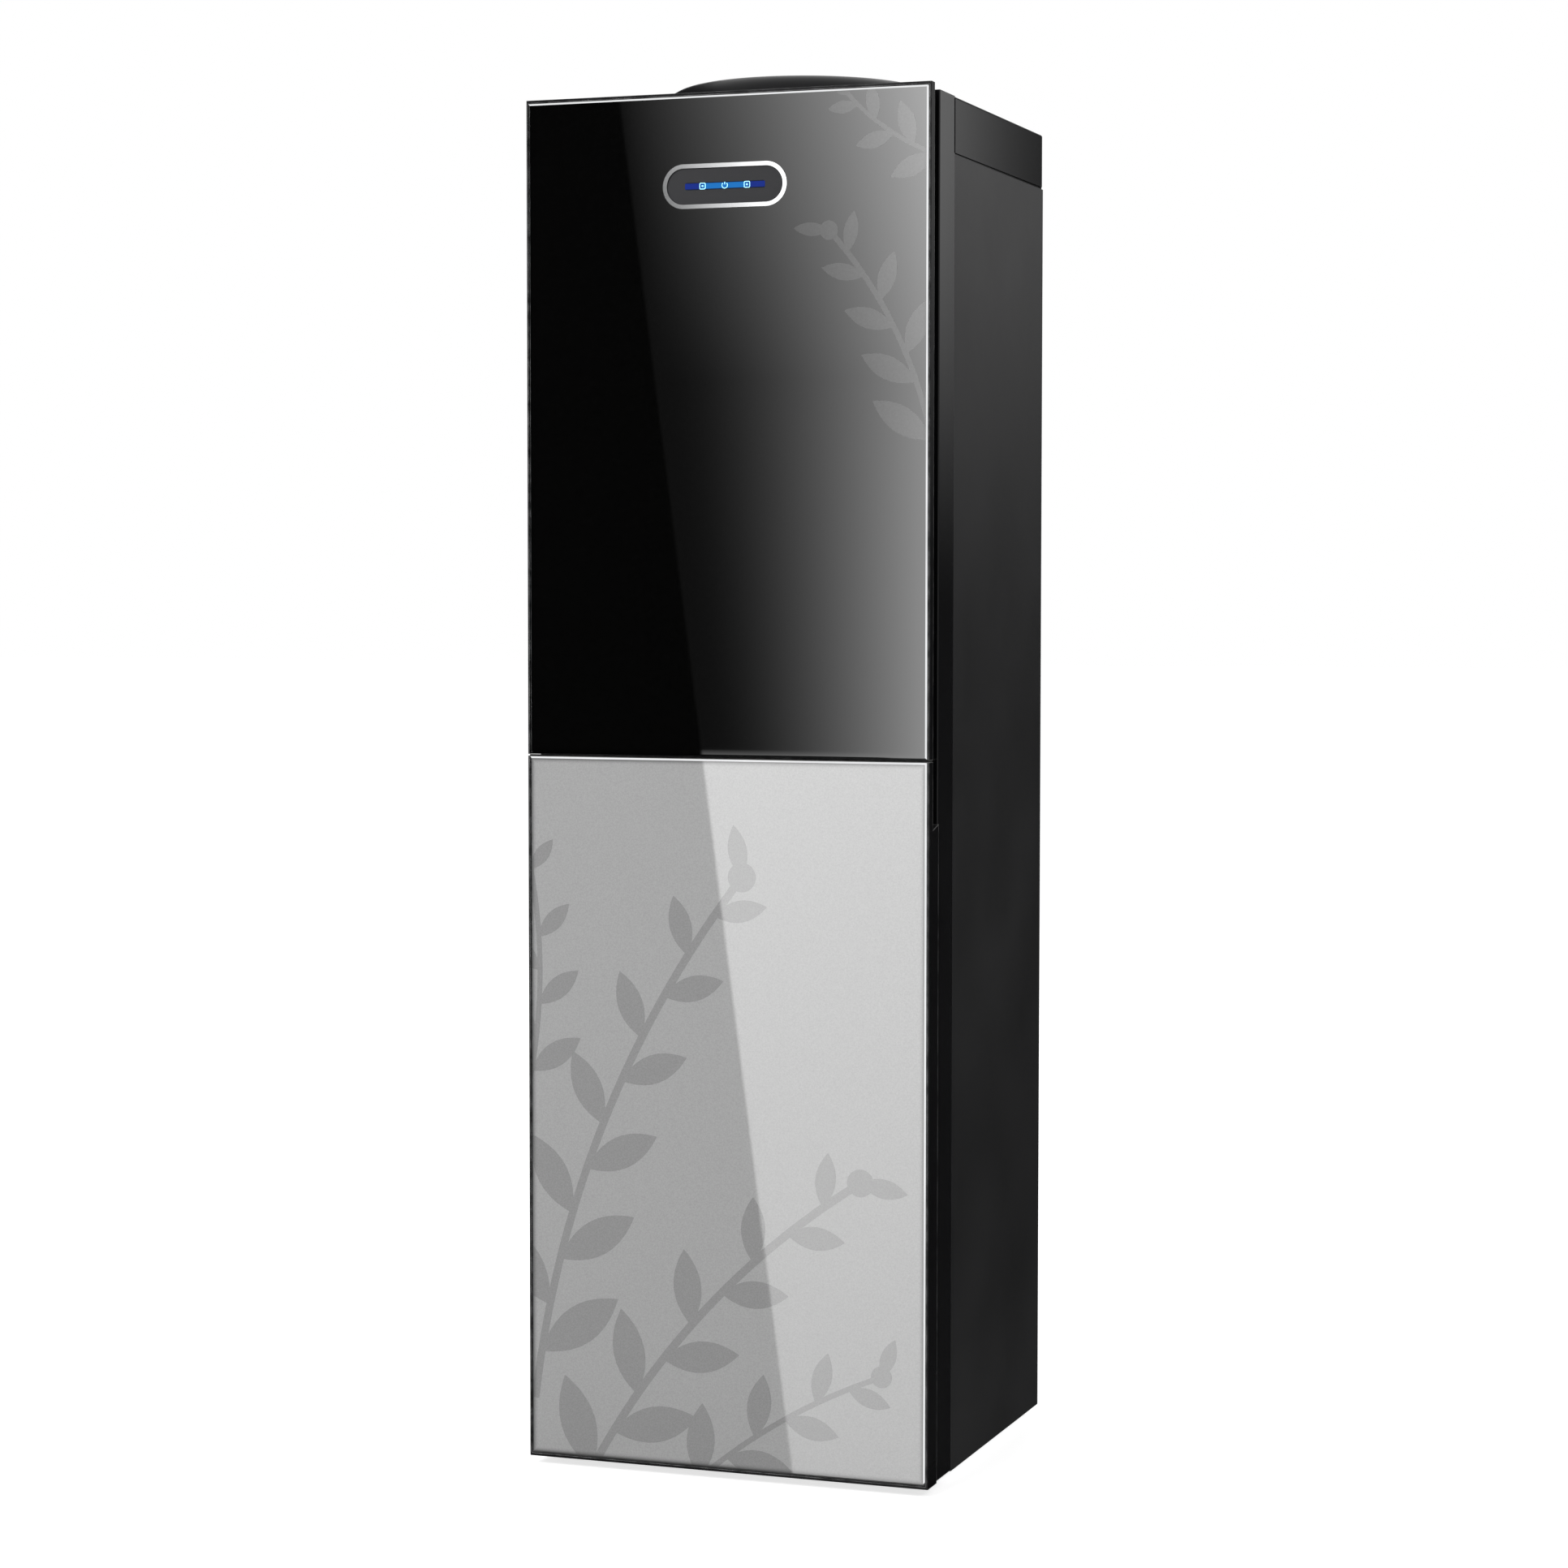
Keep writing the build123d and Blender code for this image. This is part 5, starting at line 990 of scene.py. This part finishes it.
# %% [markdown]
# ## The ribbed door seal
#
# The lower door closes on a soft strip with three small ribs. The solid is a plain flat frame, so the strip
# is drawn again as one ribbed section that follows a round-cornered path, which is what Curve to Mesh
# does best.

# %% Door seal
def build_seal():
    """A ribbed section along a round-cornered frame, in the XY plane."""
    tree, given, result = new_group(
        "ribbed_seal", "GeometryNodeTree",
        [("Section", "NodeSocketGeometry", None), ("Width", FLOAT, 0.26), ("Height", FLOAT, 0.3),
         ("Corner", FLOAT, 0.004), ("Finish", "NodeSocketMaterial", None)],
        [("Geometry", "NodeSocketGeometry")],
    )
    corners = add(tree, "GeometryNodeCurvePrimitiveQuadrilateral", Width=given["Width"],
                  Height=given["Height"]).outputs[0]
    rounded = add(tree, "GeometryNodeFilletCurve", {"mode": "POLY"}, Curve=corners, Radius=given["Corner"],
                  Count=6)
    section = add(tree, "GeometryNodeMeshToCurve", Mesh=given["Section"]).outputs[0]
    strip = add(tree, "GeometryNodeCurveToMesh", Curve=rounded.outputs[0], Profile_Curve=section).outputs[0]
    return finish_tree(tree, strip, given["Finish"], result, facets=False)


seal_low, seal_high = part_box("lower_door_seal")
SEAL_WIDTH, SEAL_BASE = 5.0 * MM, 0.45
RIB_TOP, RIB_FOOT = 0.35 * MM, 0.6 * MM
seal_height = seal_high.y - seal_low.y
half, base = SEAL_WIDTH / 2, seal_height * SEAL_BASE
outline = [(-half, 0.0), (-half, base)]
for rib in (-1, 0, 1):
    middle = rib * SEAL_WIDTH / 3
    outline += [(middle - RIB_FOOT, base), (middle - RIB_TOP, seal_height), (middle + RIB_TOP, seal_height),
                (middle + RIB_FOOT, base)]
outline += [(half, base), (half, 0.0)]
section = bpy.data.meshes.new("section")
round_trip = [(i, (i + 1) % len(outline)) for i in range(len(outline))]
section.from_pydata([(x, y, 0.0) for x, y in outline], round_trip, [])
seal_sizes = {"Width": seal_high.x - seal_low.x - SEAL_WIDTH, "Height": seal_high.z - seal_low.z - SEAL_WIDTH}
seal_mesh = grow(build_seal(), {**seal_sizes, "Finish": finish["rubber"]}, section)
middle = (seal_low + seal_high) / 2
seal_mesh.transform(Matrix.Translation((middle.x, seal_low.y, middle.z)) @ Matrix.Rotation(pi / 2, 4, "X"))
outward(seal_mesh)
seal_piece = link_piece("ribbed_door_seal", seal_mesh, finish["rubber"], "lower_door")
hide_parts("lower_door_seal")
low_y, high_y = [limit(vertex.co.y for vertex in seal_mesh.vertices) for limit in (min, max)]
print("seal:", len(seal_mesh.polygons), "faces, y", round(low_y / MM, 2), "to", round(high_y / MM, 2),
      "for", round(seal_low.y / MM, 2), "to", round(seal_high.y / MM, 2))

# %% [markdown]
# ## A photo studio
#
# The floor and the world are white to the camera, and the world is white as well to polished things that
# mirror it, but both light the object softly. The floor is hidden from mirrors, and keeps the shadow that the
# object casts.

# %% Floor and world
def seen_directly(tree):
    """1 for a ray from the camera, a mirror or glass, and 0 for soft light."""
    seen = add(tree, "ShaderNodeLightPath").outputs
    clear = math(tree, "MAXIMUM", seen["Is Glossy Ray"], seen["Is Transmission Ray"])
    return math(tree, "MAXIMUM", seen["Is Camera Ray"], clear)


def white_floor():
    """A pale floor that adds just enough light of its own to read as white."""
    material, tree, shader = new_material("studio_floor")
    place = object_place(tree)
    cloud = add(tree, "ShaderNodeTexNoise", Vector=place, Scale=2.0).outputs[0]
    feed(tree, shader.inputs["Base Color"], blend_colour(tree, cloud, grey(0.58), grey(0.62)))
    shader.inputs["Roughness"].default_value = 0.9
    shader.inputs["Specular IOR Level"].default_value = 0.0
    feed(tree, shader.inputs["Emission Strength"], math(tree, "MULTIPLY", seen_directly(tree), 0.74))
    shader.inputs["Emission Color"].default_value = grey(1.0)
    return material


def stage_plane(name, corners, material):
    """A flat studio piece from its corners."""
    mesh = bpy.data.meshes.new(name)
    mesh.from_pydata(corners, [], [range(len(corners))])
    mesh.materials.append(material)
    plane = bpy.data.objects.new(name, mesh)
    bpy.context.scene.collection.objects.link(plane)
    plane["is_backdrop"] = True
    return plane


FLOOR_REACH = 30.0
floor_corners = [(x * FLOOR_REACH, y * FLOOR_REACH, 0.0) for x, y in ((-1, -1), (1, -1), (1, 1), (-1, 1))]
floor = stage_plane("studio_floor", floor_corners, white_floor())
floor.visible_glossy = False


def white_world(ambient):
    """White where it is seen or mirrored, and a dim soft light elsewhere."""
    world = bpy.data.worlds.new("studio_world")
    world.use_nodes = True
    tree = world.node_tree
    back = tree.nodes["Background"]
    back.inputs["Color"].default_value = grey(1.0)
    feed(tree, back.inputs["Strength"], ramp(tree, seen_directly(tree), 0.0, 1.0, ambient, 1.0))
    bpy.context.scene.world = world


white_world(0.45)
bpy.context.scene.view_settings.view_transform = "Standard"
print("floor reaches", FLOOR_REACH, "m; world in place")

# %% [markdown]
# ## Lamps
#
# Three large soft lamps: one high at the front left that lights both doors, one high on the right for the
# side, and one behind so that the back isn't lost.

# %% Soft lamps
object_middle = (cad_box[0] + cad_box[1]) / 2


def soft_lamp(name, place, size, power, aim=object_middle):
    """A square area lamp aimed at a point."""
    lamp = bpy.data.lights.new(name, "AREA")
    lamp.shape = "SQUARE"
    lamp.size = size
    lamp.energy = power
    holder = bpy.data.objects.new(name, lamp)
    holder.location = place
    holder.rotation_euler = (Vector(aim) - Vector(place)).to_track_quat("-Z", "Y").to_euler()
    holder.visible_glossy = False
    bpy.context.scene.collection.objects.link(holder)
    return holder


soft_lamp("door_lamp", (-0.9, -2.2, 2.3), 1.5, 62.0)
soft_lamp("side_lamp", (2.6, 0.2, 2.6), 1.4, 25.0)
soft_lamp("back_lamp", (-1.0, 3.0, 2.2), 1.6, 40.0)
print("three soft lamps")

# %% [markdown]
# ## Cards for the reflections
#
# Glass and satin paint show the studio, so the studio holds cards that only mirrored rays can see, as a
# photographer hangs boards just outside the picture. One stands in front to the left: dark on the left of
# a slanting edge and bright on the right of it, which is the long diagonal shine on both doors. To find
# where a card must change, the camera is mirrored in the glass, and a line from there through a point of
# the glass meets the card.

# %% The front card
camera_place = Vector((0.9162, -2.5714, 0.6450))
glass_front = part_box("upper_glass")[0].y
CARD_GAP = 1.5
card_y = glass_front - CARD_GAP
mirror_gain = 1.0 + CARD_GAP / (glass_front - camera_place.y)


def on_card(x, z):
    """Where the mirrored camera sees the card through a point of the glass."""
    return (camera_place.x + (x - camera_place.x) * mirror_gain,
            camera_place.z + (z - camera_place.z) * mirror_gain)


SHINE_TOP, SHINE_FOOT = (-0.0819, 0.9998), (0.0517, 0.0100)
door_split = (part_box("lower_glass")[1].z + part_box("upper_glass")[0].z) / 2


def new_card(name):
    """A material for a card, which only glows."""
    material, tree, shader = new_material(name)
    tree.nodes.remove(shader)
    return material, tree


def glow_by(tree, strength):
    """Let a card glow white by a strength."""
    light = add(tree, "ShaderNodeEmission", Color=grey(1.0), Strength=strength)
    feed(tree, tree.nodes["Material Output"].inputs["Surface"], light.outputs[0])


def shine_card():
    """Radiance over the card: nothing left of the edge, even below, and rising to the right above."""
    material, tree = new_card("shine_card")
    place = parts_of(tree, object_place(tree))
    top, foot = on_card(*SHINE_TOP), on_card(*SHINE_FOOT)
    slope = (top[0] - foot[0]) / (top[1] - foot[1])
    edge_x = math(tree, "ADD", math(tree, "MULTIPLY", place["Z"], slope), foot[0] - slope * foot[1])
    inside = math(tree, "SUBTRACT", place["X"], edge_x)
    lit = ramp(tree, inside, 0.0, 0.004)
    split = on_card(0.0, door_split)[1]
    upper = ramp(tree, place["Z"], split - 0.01, split + 0.01)
    right = on_card(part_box("upper_glass")[1].x, 1.0)[0]
    across = math(tree, "DIVIDE", inside, math(tree, "SUBTRACT", right, edge_x))
    crown = on_card(0.0, 1.0)[1]
    strong = ramp(tree, place["Z"], split, crown, 6.3, 6.7)
    rise = math(tree, "MULTIPLY", math(tree, "POWER", across, 2.4), strong)
    glare = math(tree, "MULTIPLY", across, ramp(tree, place["Z"], on_card(0.0, 0.8)[1], crown, 0.0, 3.3))
    veil = math(tree, "ADD", math(tree, "ADD", rise, glare), 0.08)
    even = ramp(tree, place["Z"], on_card(0.0, 0.0)[1], split, 3.9, 6.6)
    lower = math(tree, "SUBTRACT", 1.0, upper)
    both = math(tree, "ADD", math(tree, "MULTIPLY", upper, veil), math(tree, "MULTIPLY", lower, even))
    glow = math(tree, "MULTIPLY", lit, both)
    glow_by(tree, glow)
    return material


def mirror_only(card):
    """Hide a card from everything but mirrored rays."""
    for kind in ("camera", "diffuse", "shadow", "transmission", "volume_scatter"):
        setattr(card, f"visible_{kind}", False)
    return card


card_left, card_right = on_card(-0.155, 0.0)[0] - 0.6, on_card(0.155, 0.0)[0] + 0.1
card_low, card_high = on_card(0.0, 0.0)[1] - 0.2, on_card(0.0, 1.03)[1] + 0.3
front_corners = [(card_left, card_y, card_low), (card_right, card_y, card_low),
                 (card_right, card_y, card_high), (card_left, card_y, card_high)]
mirror_only(stage_plane("front_card", front_corners, shine_card()))
print("front card spans", [round(v, 3) for v in (card_left, card_right, card_low, card_high)])

# %% [markdown]
# ## Cards behind and beside
#
# The dark side of the casing is seen at a shallow angle, where even black paint mirrors what stands behind.
# A tall card there is black at the floor and grey at the top, and fades towards its left. The smooth frame
# and cap show that fade sharply, and the grained side panels blur it into a slow fall. A black board on the
# left keeps the left bevels dark. A narrow black strip at the foot of the doors is a painted shadow: it
# stands in for the shadow on the floor under the doors, which the bevels at the foot mirror. So only the
# right and top bevels shine.

# %% Side cards
LEFT_SHARE = 0.1


def fading_card(name, tall, wide, dim, bright):
    """A card that is dim at its foot and left, and climbs softly to bright at its head and right."""
    material, tree = new_card(name)
    place = parts_of(tree, object_place(tree))
    climb = add(tree, "ShaderNodeMapRange", {"interpolation_type": "SMOOTHSTEP"}, Value=place["Z"],
                From_Min=tall[0], From_Max=tall[1]).outputs[0]
    fade = math(tree, "POWER", ramp(tree, place["X"], *wide), 2.0)
    share = math(tree, "MULTIPLY", climb, ramp(tree, fade, 0.0, 1.0, LEFT_SHARE, 1.0))
    glow_by(tree, ramp(tree, share, 0.0, 1.0, dim, bright))
    return material


def standing(near, far):
    """The corners of an upright card between two points of the floor."""
    return [(*near, CARD_FOOT), (*far, CARD_FOOT), (*far, CARD_HEAD), (*near, CARD_HEAD)]


CARD_FOOT, CARD_HEAD = -1.0, 2.6
grey_card = fading_card("back_card", (0.62, 1.24), (0.505, 0.625), 0.02, 0.84)
black_card = fading_card("black_card", (0.0, 1.0), (0.0, 1.0), 0.01, 0.01)
mirror_only(stage_plane("back_card", standing((0.2, 1.6), (2.6, 0.7)), grey_card))
mirror_only(stage_plane("left_card", standing((-1.3, -0.3), (-1.3, 2.5)), black_card))
# Painted shadow: a black strip just above the floor in front of the doors, seen only in mirrors, stands in
# for the shadow there.
foot_front, foot_back, foot_half, foot_rise = glass_front - 12 * MM, glass_front + 50 * MM, 0.2, 0.5 * MM
foot_shadow_corners = [(-foot_half, foot_front, foot_rise), (foot_half, foot_front, foot_rise),
                (foot_half, foot_back, foot_rise), (-foot_half, foot_back, foot_rise)]
mirror_only(stage_plane("foot_shadow_card", foot_shadow_corners, black_card))
print("three cards beside and behind")

# %% [markdown]
# ## The camera
#
# The picture was taken with a long lens from a little above the middle of the object, with the right side
# just in view. The place and the angles come from matching the corners of the doors and of the cap.

# %% Camera
AZIMUTH, PITCH, ROLL = radians(19.754), radians(2.996), radians(0.044)
IMAGE_SIDE, FOCAL_PIXELS, SENSOR = 1932, 4423.9, 36.0
look = Vector((-sin(AZIMUTH) * cos(PITCH), cos(AZIMUTH) * cos(PITCH), -sin(PITCH)))
lens = bpy.data.cameras.new("studio_camera")
lens.sensor_width = SENSOR
lens.lens = SENSOR * FOCAL_PIXELS / IMAGE_SIDE
camera = bpy.data.objects.new("studio_camera", lens)
camera.location = camera_place
aimed = look.to_track_quat("-Z", "Y").to_matrix()
camera.rotation_euler = (aimed @ Matrix.Rotation(ROLL, 3, "Z")).to_euler()
bpy.context.scene.collection.objects.link(camera)
bpy.context.scene.camera = camera
print("lens", round(lens.lens, 2), "mm")

# %% [markdown]
# ## Check the size
#
# What was added must stay inside the box of the solids, give or take a hair, so how far each corner of
# the box has moved is printed.

# %% Sizes
dressed_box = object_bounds()
grown = [round((b - a).length / MM, 2) for a, b in zip(cad_box, dressed_box)]
print("grown by", grown, "mm at the two corners")
